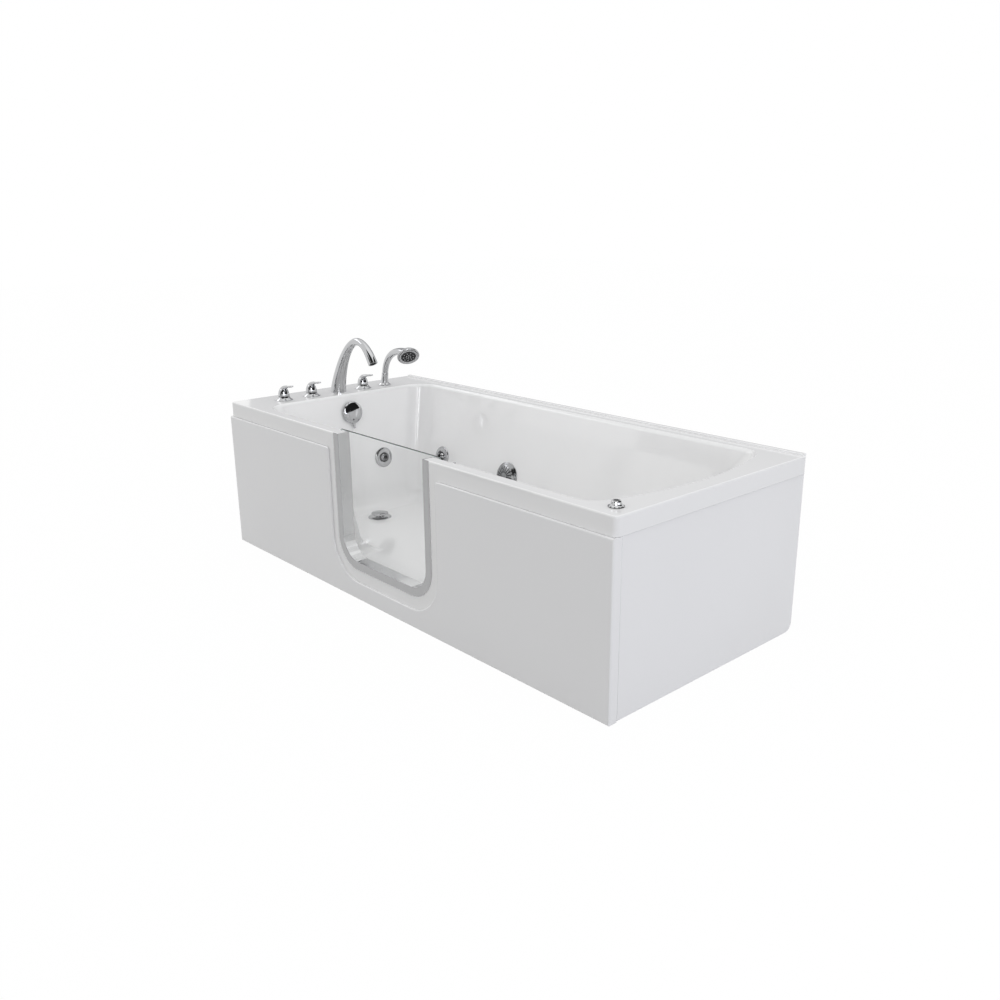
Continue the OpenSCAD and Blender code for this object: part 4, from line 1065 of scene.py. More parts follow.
@dataclass
class TubShell:
    """The acrylic rim and basin with its glass-fibre back."""

    places: Places
    basin: Basin
    door: DoorOpening
    skin: float = 6
    band: float = 51
    corner_r: float = 15
    edge_r: float = 5
    bead_t: float = 14
    bay_half: float = 305
    bay_corner_r: float = 50
    bay_roll: float = 5
    bay_reach: float = 70
    under_edge_r: float = 1.5
    bead_edge_r: float = 2.2
    bay_edge_r: float = 3
    surround_half: float = 267
    surround_z: float = 60
    surround_lap: Flat = (20, 16)
    surround_corner_r: float = 90
    tunnel_gap: float = 4
    jet_hole: float = 24
    suction_hole: float = 30
    overflow_hole: float = 20
    drain_hole: float = 24
    panel_gap: float = 0.3
    sink: float = 3
    over: float = 12

    def __post_init__(self) -> None:
        """Works out the panels' top, the bay's front y and how high its cutters reach."""
        self.panel_top = self.places.rim_z - self.band - self.panel_gap
        self.bay_y = -self.places.rim_y + BAY_WALL
        self.cut_z = self.places.rim_z + self.over

    def two_finishes(self, obj: Piece, inside: bool) -> Piece:
        """Gives a solid both finishes, and all its faces the one of its side."""
        Bench.coat(obj, (SHELL_ACRYLIC, FIBREGLASS), lambda face: 0 if inside else 1)
        return obj

    def rim(self) -> Piece:
        """Makes the rim with its band and tiling bead.

        Returns:
            The rim, hollow below.
        """
        p, skin = self.places, self.skin
        low, bead_z = p.rim_z - self.band, p.rim_z - self.sink
        rim = p.block("tub_shell_dressed", (-p.rim_x, -p.rim_y, low), (p.rim_x, p.rim_y, p.rim_z))
        Bench.bevel(rim, standing, self.corner_r, 8)
        Bench.bevel(rim, lambda e: at_height(e, p.rim_z) and sharp(e), self.edge_r, 5)
        Bench.bevel(rim, lambda e: at_height(e, low) and sharp(e), self.under_edge_r, 3)
        bead = p.block("bead", (-p.rim_x + self.corner_r, p.rim_y - self.bead_t, bead_z),
                       (p.rim_x - self.corner_r / 3, p.rim_y, p.rim_z + BEAD_H))
        Bench.bevel(bead, lambda e: not at_height(e, bead_z), self.bead_edge_r, 4)
        hollow = p.block("hollow", (-p.rim_x + skin, -p.rim_y + skin, low - 5),
                         (p.rim_x - skin, p.rim_y - skin, p.rim_z - skin))
        self.two_finishes(rim, True)
        Bench.combine(rim, [self.two_finishes(bead, True)], Join.ADD)
        Bench.combine(rim, [self.two_finishes(hollow, False)], Join.CUT)
        return rim

    def upright(self, name: str, outline: list[Flat], near: float, far: float,
                inside: bool) -> Piece:
        """Makes an upright plate between two depths.

        Args:
            name: Its name.
            outline: Its outline in X and Z.
            near: Its front face's y.
            far: Its back face's y.
            inside: Whether its faces are acrylic.

        Returns:
            The plate.
        """
        plate = Bench.plate(name, outline, -far, -near, self.places.upright())
        return self.two_finishes(plate, inside)

    def roll_cutter(self) -> Piece:
        """Makes the cutter that rolls the bay's edge over into the deck."""
        p, half, near, high = self.places, self.bay_half, self.bay_y, self.bay_roll
        outline = [(-half, near), (half, near), (half, near + 90), (-half, near + 90)]
        rings = []
        for i in range(6):
            turn = math.radians(90 * i / 5)
            out = (high - 1) * (1 - math.cos(turn))
            z = p.rim_z - high + high * math.sin(turn)
            rings.append([(x + math.copysign(out, x), y - out if y < near + 1 else y, z)
                          for x, y in outline])
        rings.append([(x, y, self.cut_z) for x, y, _ in rings[-1]])
        cutter = Bench.loft("bay_roll", rings, (True, True), p.flat())
        return self.two_finishes(cutter, True)

    def build(self) -> None:
        """Makes the shell and hands it over."""
        p, b, skin = self.places, self.basin, self.skin
        near, top = self.bay_y, self.cut_z
        under = p.rim_z - skin + self.sink
        half, low, r = self.bay_half, b.floor_z, self.bay_corner_r
        fall = (b.roll_z - b.floor_z) * math.tan(math.radians(b.side_lean))
        far = b.front_y + fall + self.bay_reach
        shell = self.rim()
        wide, down = self.surround_half + self.surround_lap[0], self.surround_lap[1]
        surround = self.upright(
            "surround", tongue(-wide, wide, self.surround_z - down, p.rim_z - self.band + 1,
                               self.surround_corner_r, self.surround_corner_r),
            -p.rim_y, -p.rim_y + skin, True)
        outer_bay = self.upright(
            "outer_bay", tongue(-half - skin, half + skin, low - skin, under, r + skin, r + skin),
            near - skin, far, False)
        outer = self.two_finishes(b.solid("outer", skin, under, 0), False)
        Bench.combine(shell, [surround, outer_bay, outer], Join.ADD)
        hollow = self.two_finishes(b.solid("inner", 0, top, b.roll + 2), True)
        bay = self.upright("bay", tongue(-half, half, low, top, r, r), near, far, True)
        Bench.bevel(bay, lambda e: all(v.co.y / MM < near + p.mid_y + 1 for v in e.verts)
                    and not at_height(e, top), self.bay_edge_r, 3)
        tunnel = self.upright("tunnel", self.door.path(self.tunnel_gap, top), -p.rim_y - 5,
                              near + 1, True)
        Bench.combine(shell, [hollow, bay, self.roll_cutter(), tunnel], Join.CUT)
        holes = [(place, self.jet_hole) for place in b.jets()]
        holes += [(b.suction(), self.suction_hole), (b.overflow(), self.overflow_hole),
                  (b.drain(), self.drain_hole)]
        for place, radius in holes:
            hole = Bench.turned("hole", [(radius, -2 * skin), (radius, skin)], 40, place)
            Bench.combine(shell, [self.two_finishes(hole, True)], Join.CUT)
        Bench.hand_over(shell, "tub", None, "acrylic", ["tub_shell"], 30)


@dataclass
class Panels:
    """The acrylic panels in front and at the backrest end."""

    places: Places
    shell: TubShell
    proud: float = 7
    thick: float = 5
    low: float = 2
    turn: float = 30
    recess: float = 4
    cut_r: float = 130
    top_r: float = 12
    corner_steps: tuple[int, int] = (6, 16)
    inset: float = 0.5
    edge_r: float = 4.5
    part_edge_r: float = 1.2
    end_edge_r: float = 1.6
    back_corner_r: float = 28
    rib_heights: Point = (120, 240, 360)
    rib_h: float = 8
    rib_in: float = 60

    def front(self) -> None:
        """Makes the front panel with its rounded cut-out and its returns."""
        p, top = self.places, self.shell.panel_top
        end = p.rim_x - self.inset
        half, sill = self.shell.surround_half, self.shell.surround_z
        few, many = self.corner_steps
        out_y = -p.rim_y - self.proud
        outline = [(-end, self.low), (end, self.low), (end, top)]
        outline += arc((half + self.top_r, top - self.top_r), self.top_r, 90, 180, few)
        outline += arc((half - self.cut_r, sill + self.cut_r), self.cut_r, 0, -90, many)
        outline += arc((-half + self.cut_r, sill + self.cut_r), self.cut_r, 270, 180, many)
        outline += arc((-half - self.top_r, top - self.top_r), self.top_r, 0, 90, few)
        outline += [(-end, top)]
        panel = Bench.plate("front_panel_dressed", outline, -out_y - self.thick, -out_y,
                            p.upright())
        face = (out_y + p.mid_y) * MM

        def front_edge(edge: Edge) -> bool:
            """Picks the edges round the panel's outer face."""
            return all(abs(v.co.y - face) < SAME for v in edge.verts) and sharp(edge)

        Bench.bevel(panel, front_edge, self.edge_r, 5)
        parts = []
        for side in (-1, 1):
            xs = sorted((side * end, side * (end - self.thick)))
            parts.append(p.block("return", (xs[0], out_y + 3.5, self.low),
                                 (xs[1], out_y + self.turn, top)))
        for z, side in ((self.low, 0), (top - self.thick, -1), (top - self.thick, 1)):
            xs = (-end + 2, end - 2) if side == 0 else sorted(
                (side * (end - 2), side * (half + self.top_r + 4)))
            parts.append(p.block("fold", (xs[0], out_y + self.thick - self.inset, z),
                                 (xs[1], -p.rim_y + 5.5, z + self.thick)))
        for part in parts:
            Bench.bevel(part, lambda e: True, self.part_edge_r, 2)
        lip = self.lip(half, sill, out_y + 2.5, top)
        Bench.merge(panel, [*parts, lip])
        Bench.hand_over(panel, "tub", PANEL_ACRYLIC, "panel_acrylic", ["front_panel"], 35)

    def lip(self, half: float, sill: float, near: float, top: float) -> Piece:
        """Makes the wall that turns in round the cut-out.

        Args:
            half: Half of the cut-out's width.
            sill: Its lowest height.
            near: The lip's front y.
            top: The panel's top.

        Returns:
            The lip.
        """
        ring = DoorOpening(half, sill, self.cut_r, top - self.top_r, self.corner_steps[1])
        low, high, cut = self.shell.panel_gap, self.thick, 0.6
        far = -self.places.rim_y - self.shell.panel_gap
        profile = [(low, near), (low, far - cut), (low + cut, far), (high - cut, far),
                   (high, far - cut), (high, near)]
        return ring.band("lip", profile, self.places)

    def end(self) -> None:
        """Makes the end panel with its ribs."""
        p = self.places
        out_x = p.rim_x - self.recess
        front = -p.rim_y - self.proud + self.turn + 4
        outline = tongue(front, p.rim_y - self.recess, self.low, self.shell.panel_top, 4,
                         self.back_corner_r)
        turn = p.at(out_x, 0, 0) @ Matrix.Rotation(math.pi / 2, 4, "Z") @ Matrix.Rotation(
            math.pi / 2, 4, "X")
        panel = Bench.plate("end_panel_dressed", outline, -self.thick, 0, turn)
        Bench.bevel(panel, lambda e: all(abs(v.co.x / MM - out_x) < 0.01 for v in e.verts)
                    and sharp(e), self.end_edge_r, 3)
        ribs = []
        for z in self.rib_heights:
            rib = p.block("rib", (out_x - self.thick - 3, front + self.rib_in, z),
                          (out_x - self.thick + self.inset, p.rim_y - self.rib_in,
                           z + self.rib_h))
            Bench.bevel(rib, sharp, 1, 2)
            ribs.append(rib)
        Bench.merge(panel, ribs)
        Bench.hand_over(panel, "tub", PANEL_ACRYLIC, "panel_acrylic", ["end_panel"], 35)

    def build(self) -> None:
        """Makes both panels."""
        self.front()
        self.end()


# ---------------------------------------------------------------- door


@dataclass
class Door:
    """The polished frame, its seal and the glass leaf."""

    places: Places
    opening: DoorOpening
    face: float = 27
    face_t: float = 2.5
    edge_r: float = 0.9
    wall: float = 3
    clamp_t: float = 2.5
    seal_t: float = 2.2
    gap: float = 0.3
    glass_t: float = 8
    cover: float = 27
    hinge_cover: float = 53
    drop: float = 23
    hinge_corner_r: float = 20
    latch_corner_r: float = 80

    def __post_init__(self) -> None:
        """Works out the depths."""
        self.front_y = -self.places.rim_y
        self.bay_y = self.front_y + BAY_WALL
        self.glass_y = self.bay_y + self.clamp_t + self.seal_t + self.gap

    def build(self) -> None:
        """Makes the frame, its inner flange, the seal and the glass."""
        self.frame()
        self.clamp()
        self.seal()
        self.glass()

    def frame(self) -> None:
        """Makes the frame: a polished face painted darker as reflection, with a tunnel whose
        returns are painted lighter.
        """
        out, near, far = self.face, self.front_y - self.face_t, self.bay_y + self.clamp_t
        r, cut = self.edge_r, self.edge_r * 0.3
        profile = [(out, self.front_y), (out, near + r), (out - cut, near + cut),
                   (out - r, near), (r, near), (cut, near + cut), (0, near + r),
                   (0, far - 0.4), (0.4, far), (self.wall, far), (self.wall, self.front_y)]
        piece = self.opening.band("door_frame_dressed", profile, self.places)
        # Painted reflection: the face gets the darker copy of the steel and the returns in the bay
        # the lighter copy.
        Bench.two_tone(piece, [Matrix()], lambda at, out: (
            at.y > near + 1 and abs(out.y) < 0.3), STEEL_PAINTED_DARK, STEEL_PAINTED_LIGHT)
        Bench.hand_over(piece, "tub", None, "stainless", ["door_frame"], 50)

    def clamp(self) -> None:
        """Makes the flange that holds the frame from inside."""
        low, high = self.wall + 0.2, self.wall + 22
        near, far = self.bay_y, self.bay_y + self.clamp_t
        profile = [(high, near), (low, near), (low, far - 0.3), (low + 0.3, far),
                   (high - 0.8, far), (high, far - 0.8)]
        piece = self.opening.band("door_clamp_dressed", profile, self.places)
        Bench.hand_over(piece, "tub", HINGE_STEEL, "stainless", ["door_clamp_frame"], 40)

    def seal(self) -> None:
        """Makes the rubber seal with its soft bulb towards the glass."""
        low, high = self.wall + 3, self.wall + 15
        near, far = self.bay_y + self.clamp_t, self.glass_y - self.gap
        profile = [(high, near), (low, near)]
        profile += [(low + (high - low) * (0.5 - 0.5 * math.cos(math.radians(a))),
                     near + (far - near) * math.sin(math.radians(a)) ** 0.5)
                    for a in range(15, 166, 15)]
        piece = self.opening.band("door_seal_dressed", profile, self.places)
        Bench.hand_over(piece, "tub", SEAL, "seal_rubber", ["door_seal"], 60)

    def glass(self) -> None:
        """Makes the glass leaf with its ground edges."""
        half = self.opening.half
        outline = tongue(-half - self.hinge_cover, half + self.cover,
                         self.opening.sill_z - self.drop, self.places.rim_z,
                         self.hinge_corner_r, self.latch_corner_r, 16)
        far = self.glass_y + self.glass_t
        leaf = Bench.plate("door_glass_dressed", outline, -far, -self.glass_y,
                           self.places.upright())
        Bench.bevel(leaf, lambda e: sharp(e) and abs(e.verts[0].co.y - e.verts[1].co.y) < SAME,
                    0.9, 2)
        Bench.coat(leaf, (GLASS, GLASS_EDGE), lambda face: int(abs(face.normal.y) <= 0.99))
        Bench.hand_over(leaf, "door", None, "door_glass", ["door_glass"], 30)


# ---------------------------------------------------------------- taps


@dataclass
class TapSet:
    """The five deck fittings: two levers, the spout, the diverter and the hand shower."""

    places: Places
    basin: Basin
    inset: float = 103
    hot: float = -230
    cold: float = -116
    diverter: float = 111
    shower: float = 211
    cover_r: float = 32
    cover_h: float = 14
    lever_l: float = 74
    spout_reach: float = 238
    spout_drop: float = 130
    spout_r: float = 30
    waist_r: float = 13.4
    outlet_r: float = 17
    holder_lean: float = 10
    holder_h: float = 45
    handle_r: float = 11.8
    head_r: float = 42
    head_c: Flat = (163, 129)
    head_tilt: float = 130
    head_turn: float = -26

    def on_deck(self, y: float) -> Matrix:
        """Gives a place on the tap deck, y counted from the basin's middle line."""
        p = self.places
        return p.at(-p.rim_x + self.inset, self.basin.middle + y, p.rim_z)

    def build(self) -> None:
        """Makes every fitting."""
        self.covers()
        for name, node, y in (("hot", "hot_lever", self.hot), ("cold", "cold_lever", self.cold),
                              ("diverter", "diverter_lever", self.diverter)):
            self.lever(name, node, y)
        self.spout()
        self.holder()
        self.hose_nut()
        self.hand_shower()

    def covers(self) -> None:
        """Makes the bell-shaped plate under each lever."""
        r, h = self.cover_r, self.cover_h
        profile = [(11.5, 0), (r - 0.6, 0), (r, 0.6), (r, 1.2), (r - 1, 2.2), (r - 3, 3.2),
                   (r - 5.4, 4.8), (r - 7.6, 6.8), (r - 9.4, 9.2), (r - 10.7, 11.6),
                   (r - 11.3, h - 0.5), (r - 11.8, h), (11.5, h)]
        bells = [Bench.turned("tap_covers_dressed", profile, 72, self.on_deck(y), True)
                 for y in (self.hot, self.cold, self.diverter)]
        Bench.merge(bells[0], bells[1:])
        Bench.hand_over(bells[0], "tub", CHROME, "chrome", ["tap_covers"], 40)

    def lever(self, body: str, node: str, y: float) -> None:
        """Makes a single lever on its dome.

        Args:
            body: The body that it turns with.
            node: The CAD node that it stands for.
            y: Its place along the deck.
        """
        place = self.on_deck(y) @ Matrix.Translation((0, 0, self.cover_h + 0.5))
        dome = Bench.turned(node + "_dressed", [
            (0, 0), (19, 0), (19.8, 0.8), (20, 2.4), (19.9, 6), (19.3, 11), (18, 16.5),
            (15.8, 21.5), (12.6, 26), (8.6, 29.6), (4.2, 31.5), (0, 32)], 64, place)
        length, steps, slim_at = self.lever_l, 20, 13
        path = [curve([(-7, 15), (1, 37), (length * 0.45, 35.5), (length - 2, 44)],
                      i / steps) for i in range(steps + 1)]
        fades = [math.cos(math.pi / 2 * min(i / slim_at, 1)) for i in range(steps + 1)]
        wide = [5.4 + 8.2 * fade ** 1.2 for fade in fades]
        deep = [3.6 + 7.2 * fade ** 1.3 for fade in fades]
        for last, share in ((-3, 0.93), (-2, 0.72), (-1, 0.02)):
            wide[last] *= share
            deep[last] *= share
        arm = Bench.swept("arm", path, wide, deep, place, 28)
        Bench.merge(dome, [arm])
        Bench.hand_over(dome, body, CHROME, "chrome", [node], 60)

    def spout(self) -> None:
        """Makes the arched spout with its hollow outlet, and the aerator in it."""
        reach, drop, steps, waist_at = self.spout_reach, self.spout_drop, 56, 0.8
        control = [(0, 0), (0.062 * reach, 0.72 * drop), (0.55 * reach, 2.4 * drop), (reach, drop)]
        path = [curve(control, i / steps) for i in range(steps + 1)]
        radii = []
        for i in range(steps + 1):
            t = i / steps
            u = math.sin(math.pi / 2 * min(t / waist_at, 1))
            v = max((t - waist_at) / (1 - waist_at), 0)
            radii.append(self.spout_r + (self.waist_r - self.spout_r) * u
                         + (self.outlet_r - self.waist_r) * v * v * (3 - 2 * v) - 0.15)
        ahead = (path[-1] - path[-2]).normalized()
        inner = [path[-1], path[-1] - ahead * 0.1, path[-1] - ahead * 8]
        path += inner
        radii += [self.outlet_r - 3.4, self.outlet_r - 4, self.outlet_r - 4.4]
        piece = self.tube("spout_dressed", path, radii, steps, ahead, self.on_deck(0))
        Bench.hand_over(piece, "tub", CHROME, "chrome", ["spout"], 50)
        lean = math.atan2(ahead.y, ahead.x)
        mouth = (self.on_deck(0) @ Matrix.Translation((reach, 0, drop))
                 @ Matrix.Rotation(math.pi / 2 - lean, 4, "Y"))
        plug = Bench.turned("aerator_dressed", [
            (0, -9), (11.2, -9), (11.2, 0.2), (10.6, 0.8), (9, 0.8), (8.6, 0.2), (8.6, -3),
            (6.6, -3), (6.4, -2.2), (5, -2.2), (4.8, -3), (3, -3), (2.8, -2.2), (0, -2.2)],
            48, mouth)
        Bench.hand_over(plug, "tub", BLACK_PLASTIC_AND_PAINTED_SHADE, "zinc", ["aerator"], 40)

    def tube(self, name: str, path: list, radii: list[float], turn_at: int, ahead: Vector,
             place: Matrix) -> Piece:
        """Makes a round bar that goes back into its own mouth.

        Args:
            name: Its name.
            path: The points that it follows.
            radii: Its radius at each point.
            turn_at: The last point of the outside.
            ahead: The direction at the mouth.
            place: Where its frame stands.

        Returns:
            The bar.
        """
        rings = []
        for i, at in enumerate(path):
            way = ahead if i >= turn_at else path[i + 1] - path[max(i - 1, 0)]
            way = way.normalized()
            side = Vector((way.y, -way.x))
            if i == 0:
                side = Vector((1, 0))
            rings.append([(at.x + side.x * radii[i] * x, radii[i] * y,
                           at.y + side.y * radii[i] * x) for x, y, _ in circle(1, 48)])
        return Bench.loft(name, rings, (True, True), place)

    def leaning(self) -> Matrix:
        """Gives the hand shower's place, leaning as it stands in its holder."""
        lean = Matrix.Rotation(math.radians(self.holder_lean), 4, "Y")
        return self.on_deck(self.shower) @ lean

    def holder(self) -> None:
        """Makes the ferrule that the hand shower's hose comes out of."""
        base = Bench.turned("shower_holder_dressed", [
            (0, 0.3), (24.4, 0.3), (25, 0.9), (25, 1.8), (24, 3), (21.5, 4.6), (19, 7), (17, 9),
            (0, 9)], 64, self.on_deck(self.shower))
        cone = Bench.turned("cone", [
            (0, 5), (15.6, 5), (15.2, 8), (14, 16), (13.1, 30), (12.7, self.holder_h - 2),
            (12.9, self.holder_h - 1), (12.4, self.holder_h), (9.6, self.holder_h),
            (9.4, self.holder_h - 12), (0, self.holder_h - 12)], 64, self.leaning())
        Bench.merge(base, [cone])
        Bench.hand_over(base, "tub", CHROME, "chrome", ["shower_holder"], 40)

    def hose_nut(self) -> None:
        """Makes the nut at the hose's end."""
        top = self.holder_h + 0.3
        nut = Bench.turned("hose_nut_dressed", [
            (0, 18), (8.9, 18), (8.9, self.holder_h + 0.1), (11.9, top), (12.3, top + 0.4),
            (12.3, top + 3.6), (11.7, top + 4.6), (11.2, top + 5), (5.9, top + 5),
            (5.9, top + 16), (0, top + 16)], 48, self.leaning())
        Bench.hand_over(nut, "hose_end", CHROME, "chrome", ["hose_nut"], 35)

    def hand_shower(self) -> None:
        """Makes the hand shower's handle, its head and its spray face."""
        lean = math.radians(self.holder_lean)
        start = self.holder_h + 5.6
        control = [(math.sin(lean) * start, math.cos(lean) * start),
                   (math.sin(lean) * 100, math.cos(lean) * 100), (52, 146),
                   (self.head_c[0] - 16, self.head_c[1] + 12)]
        steps = 40
        path = [curve(control, i / steps) for i in range(steps + 1)]
        wide = [self.handle_r + 12 * (i / steps) ** 2.4 for i in range(steps + 1)]
        deep = [self.handle_r + 2.6 * (i / steps) ** 2 for i in range(steps + 1)]
        wide[0] = deep[0] = self.handle_r * 0.94
        place = self.on_deck(self.shower)
        handle = Bench.swept("hand_shower_dressed", path, wide, deep, place, 40)
        spray = (place @ Matrix.Translation((self.head_c[0], 0, self.head_c[1]))
                 @ Matrix.Rotation(math.radians(self.head_turn), 4, "Z")
                 @ Matrix.Rotation(math.radians(self.head_tilt), 4, "Y"))
        r = self.head_r
        head = Bench.turned("head", [
            (0, -26), (7, -25.6), (14, -24.2), (21, -21.4), (28, -16.8), (33.5, -11.6),
            (38, -6.6), (r - 1.2, -2.4), (r, 0.4), (r, 2.6), (r - 0.8, 4.2), (r - 2.2, 5),
            (r - 5.6, 5), (r - 5.8, 2.2), (0, 2.2)], 72, spray)
        Bench.merge(handle, [head])
        Bench.hand_over(handle, "shower", CHROME, "chrome", ["hand_shower"], 50)
        face = Bench.turned("shower_face_dressed", [
            (0, 2), (r - 6.2, 2), (r - 6.2, 4.2), (r - 8, 4.4), (29, 4.2), (28, 3.2),
            (13, 3), (11.5, 4.4), (0, 5)], 64, spray)
        nozzles = []
        for radius, count in ((0, 1), (8.5, 6), (19, 9)):
            for i in range(count):
                nozzles.append(Bench.turned("nozzle", [
                    (0, 2.6), (2.9, 2.6), (2.8, 5.4), (2, 6.8), (0, 7.3)], 12,
                    spoke(spray, 360 * i / count, radius)))
        ring = Bench.turned("shower_trim_dressed", [
            (28.4, 4), (r - 6.6, 4), (r - 6.4, 5.6), (r - 8, 6.6), (32, 6.8), (29.4, 6),
            (28.2, 5)], 64, spray, True)
        Bench.merge(ring, nozzles)
        Bench.hand_over(ring, "shower", CHROME, "chrome", [], 45)
        Bench.hand_over(face, "shower", BLACK_PLASTIC_AND_PAINTED_SHADE, "black_plastic", ["shower_face"], 40)


# ---------------------------------------------------------------- water fittings in the basin


@dataclass
class BasinFittings:
    """The overflow, the drain, the jets, the suction cover and the air control."""

    places: Places
    basin: Basin
    overflow_r: float = 41
    drain_r: float = 43
    lift: float = 8
    jet_r: float = 38
    throat: float = 23
    bore_r: float = 9
    groove: Flat = (14.4, 19.2)
    slot_ends: Flat = (14, 39)
    slot_half: float = 1.6
    slot_count: int = 18
    suction_r: float = 52
    knob_r: float = 20
    knob_in: Flat = (53, 59)
    knob_eye_r: float = 7.5
    knob_foot: float = 2.4

    def build(self) -> None:
        """Makes every fitting."""
        self.overflow()
        self.drain()
        self.jets()
        self.suction()
        self.air_knob()

    def overflow(self) -> None:
        """Makes the overflow's domed cap with its finger tab."""
        place, r = self.basin.overflow(), self.overflow_r
        cap = Bench.turned("overflow_knob_dressed", [
            (0, 4), (r - 5, 4), (r - 1, 4.6), (r, 6), (r, 11), (r - 0.6, 12.6), (r - 2.4, 14.6),
            (r - 6, 16.6), (r - 12, 18.5), (r - 22, 19.8), (0, 20.4)], 72, place)
        outline = (arc((r - 8, 0), 7, 60, 300, 10) + arc((r + 14.5, 0), 4.8, -70, 70, 8))
        tab = Bench.plate("tab", outline, 7.6, 11.4, place)
        Bench.bevel(tab, sharp, 1.4, 3)
        spindle = Bench.turned("spindle", [(5, -27), (5, 6)], 24, place)
        Bench.merge(cap, [tab, spindle])
        Bench.hand_over(cap, "overflow", CHROME, "chrome", ["overflow_knob"], 45)

    def drain(self) -> None:
        """Makes the drain's flange with its water ways, and the raised stopper."""
        place, r = self.basin.drain(), self.drain_r
        flange = Bench.turned("drain_flange_dressed", [
            (0, -8), (19.5, -8), (19.5, -26), (22, -26), (22, 0.2), (r - 0.4, 0.2),
            (r - 0.2, 0.6), (r - 1.2, 1.3), (r - 4, 2), (r - 10, 2.8), (r - 14, 3), (20, 2.6),
            (19, 1.4), (0, 1.4)], 72, place)
        ways = [Bench.turned("way", [(4.8, -30), (4.8, 6)], 24, spoke(place, 60 * i + 30, 12.5))
                for i in range(6)]
        ways.append(Bench.turned("way", [(4.1, -30), (4.1, 6)], 24, place))
        Bench.combine(flange, ways, Join.CUT)
        Bench.hand_over(flange, "tub", CHROME, "chrome", ["drain_flange"], 40)
        raised = place @ Matrix.Translation((0, 0, 3.3 + self.lift))
        cap = Bench.turned("drain_stopper_dressed", [
            (0, -24), (4, -24), (4, 0), (26, 0), (29, 0.6), (31.4, 1.8), (32, 3.2), (31.2, 4.6),
            (29, 5.6), (20, 7.3), (10, 8.3), (0, 8.6)], 72, raised)
        Bench.hand_over(cap, "stopper", CHROME, "chrome", ["drain_stopper"], 50)

    def jets(self) -> None:
        """Makes the jets' rings and swivelling eyeballs, with painted shade in their bores and in
        the grooves round them.
        """
        r, throat = self.jet_r, self.throat
        axes = self.basin.jets()
        rings = []
        for body, node, place in zip(
                ("jet_a", "jet_b", "jet_c", "jet_d"),
                ("foot_jet_front", "foot_jet_back", "back_jet", "front_jet"), axes):
            rings.append(Bench.turned("jet_rings_dressed", [
                (10, -15), (throat, -15), (throat, 0.5), (r - 0.4, 0.5), (r, 1), (r, 2.2),
                (r - 1.2, 3.4), (r - 4, 4.9), (r - 8, 6), (r - 13, 6.4), (r - 19, 5.6),
                (r - 22.6, 4), (r - 23.4, 2.6), (16.4, 0), (16.3, -3), (15, -8.4), (10, -12)],
                72, place, True))
            ball = Bench.turned(node + "_dressed", [
                (0, -15), (9, -13.2), (12.6, -9.9), (15.2, -5), (16, -0.2), (15.4, 4.4),
                (13.4, 8.6), (11.6, 11.2), (10.6, 12.4), (10.4, 17.2), (9.9, 18), (9, 18),
                (8.6, 17.4), (8.4, 6), (6, 3), (5.5, 1), (5.5, -11), (0, -11)], 56,
                place @ Matrix.Translation((0, 0, -2)))
            # Painted shade: the bore inside each eyeball is painted black.
            Bench.two_tone(ball, [place], lambda at, out: at.xy.length < self.bore_r,
                           CHROME, BORE_PAINTED_SHADE)
            Bench.hand_over(ball, body, None, "chrome", [node], 50)
        Bench.merge(rings[0], rings[1:])
        # Painted shade: the groove between each ring and its eyeball is painted black.
        Bench.two_tone(rings[0], axes, lambda at, out: (
            self.groove[0] < at.xy.length < self.groove[1] and -6 < at.z < 8), CHROME, BLACK_PLASTIC_AND_PAINTED_SHADE)
        Bench.hand_over(rings[0], "tub", None, "chrome", ["jet_rings"], 50)

    def suction(self) -> None:
        """Makes the domed strainer with radial slots, their walls painted black as shade."""
        place, r = self.basin.suction(), self.suction_r
        dome = Bench.turned("suction_cover_dressed", [
            (0, 6), (26, 6), (26, 0.6), (r - 0.5, 0.6), (r, 1.2), (r, 2.6), (r - 1.6, 4),
            (r - 4, 5.6), (r - 8, 9), (r - 13, 12.2), (r - 20, 14.9), (r - 30, 16.7),
            (r - 42, 17.4), (0, 17.6)], 90, place)
        slots = []
        start, end = self.slot_ends
        for i in range(self.slot_count):
            slot = Bench.block("slot", (start, -self.slot_half, 1), (end, self.slot_half, 21))
            Bench.bevel(slot, standing, 1.4, 3)
            spot = spoke(place, 360 * i / self.slot_count, 0)
            spot.translation *= MM
            slot.data.transform(spot)
            slots.append(slot)
        Bench.combine(dome, slots, Join.CUT)
        # Painted shade: the side walls of the slots are painted black.
        Bench.two_tone(dome, [place], lambda at, out: (
            start - 2 < at.xy.length < end + 2 and abs(out.z) < 0.4), DARK_CHROME, BLACK_PLASTIC_AND_PAINTED_SHADE)
        Bench.hand_over(dome, "tub", None, "chrome", ["suction_cover"], 40)

    def air_knob(self) -> None:
        """Makes the air control's stepped and notched knob, with painted shade in its dimple, its
        notches and at its foot.
        """
        p, r = self.places, self.knob_r
        place = p.at(p.rim_x - self.knob_in[0], -p.rim_y + self.knob_in[1], p.rim_z)
        knob = Bench.turned("air_knob_dressed", [
            (0, 0.5), (r - 0.5, 0.5), (r, 1), (r, 2), (r - 1, 3), (r - 4, 4.2), (r - 6.2, 5.6),
            (r - 7, 7), (r - 7.6, 12), (r - 8.4, 14), (r - 10, 15.4), (r - 11.4, 15.9),
            (r - 12.6, 15.2), (r - 13, 12.6), (0, 12.2)], 72, place)
        notches = [Bench.turned("notch", [(2.2, -1), (2.2, 5)], 20, spoke(place, 30 * i, r))
                   for i in range(12)]
        Bench.combine(knob, notches, Join.CUT)
        # Painted shade: the dimple on top, the notches and the foot's side are painted black.
        Bench.two_tone(knob, [place], lambda at, out: (
            at.xy.length < self.knob_eye_r and at.z > 10
            or at.xy.length > r - self.knob_foot and at.z < 4 and abs(out.z) < 0.3),
            CHROME, BLACK_PLASTIC_AND_PAINTED_SHADE)
        Bench.hand_over(knob, "air", None, "chrome", ["air_knob"], 40)


# ---------------------------------------------------------------- what stays as it came


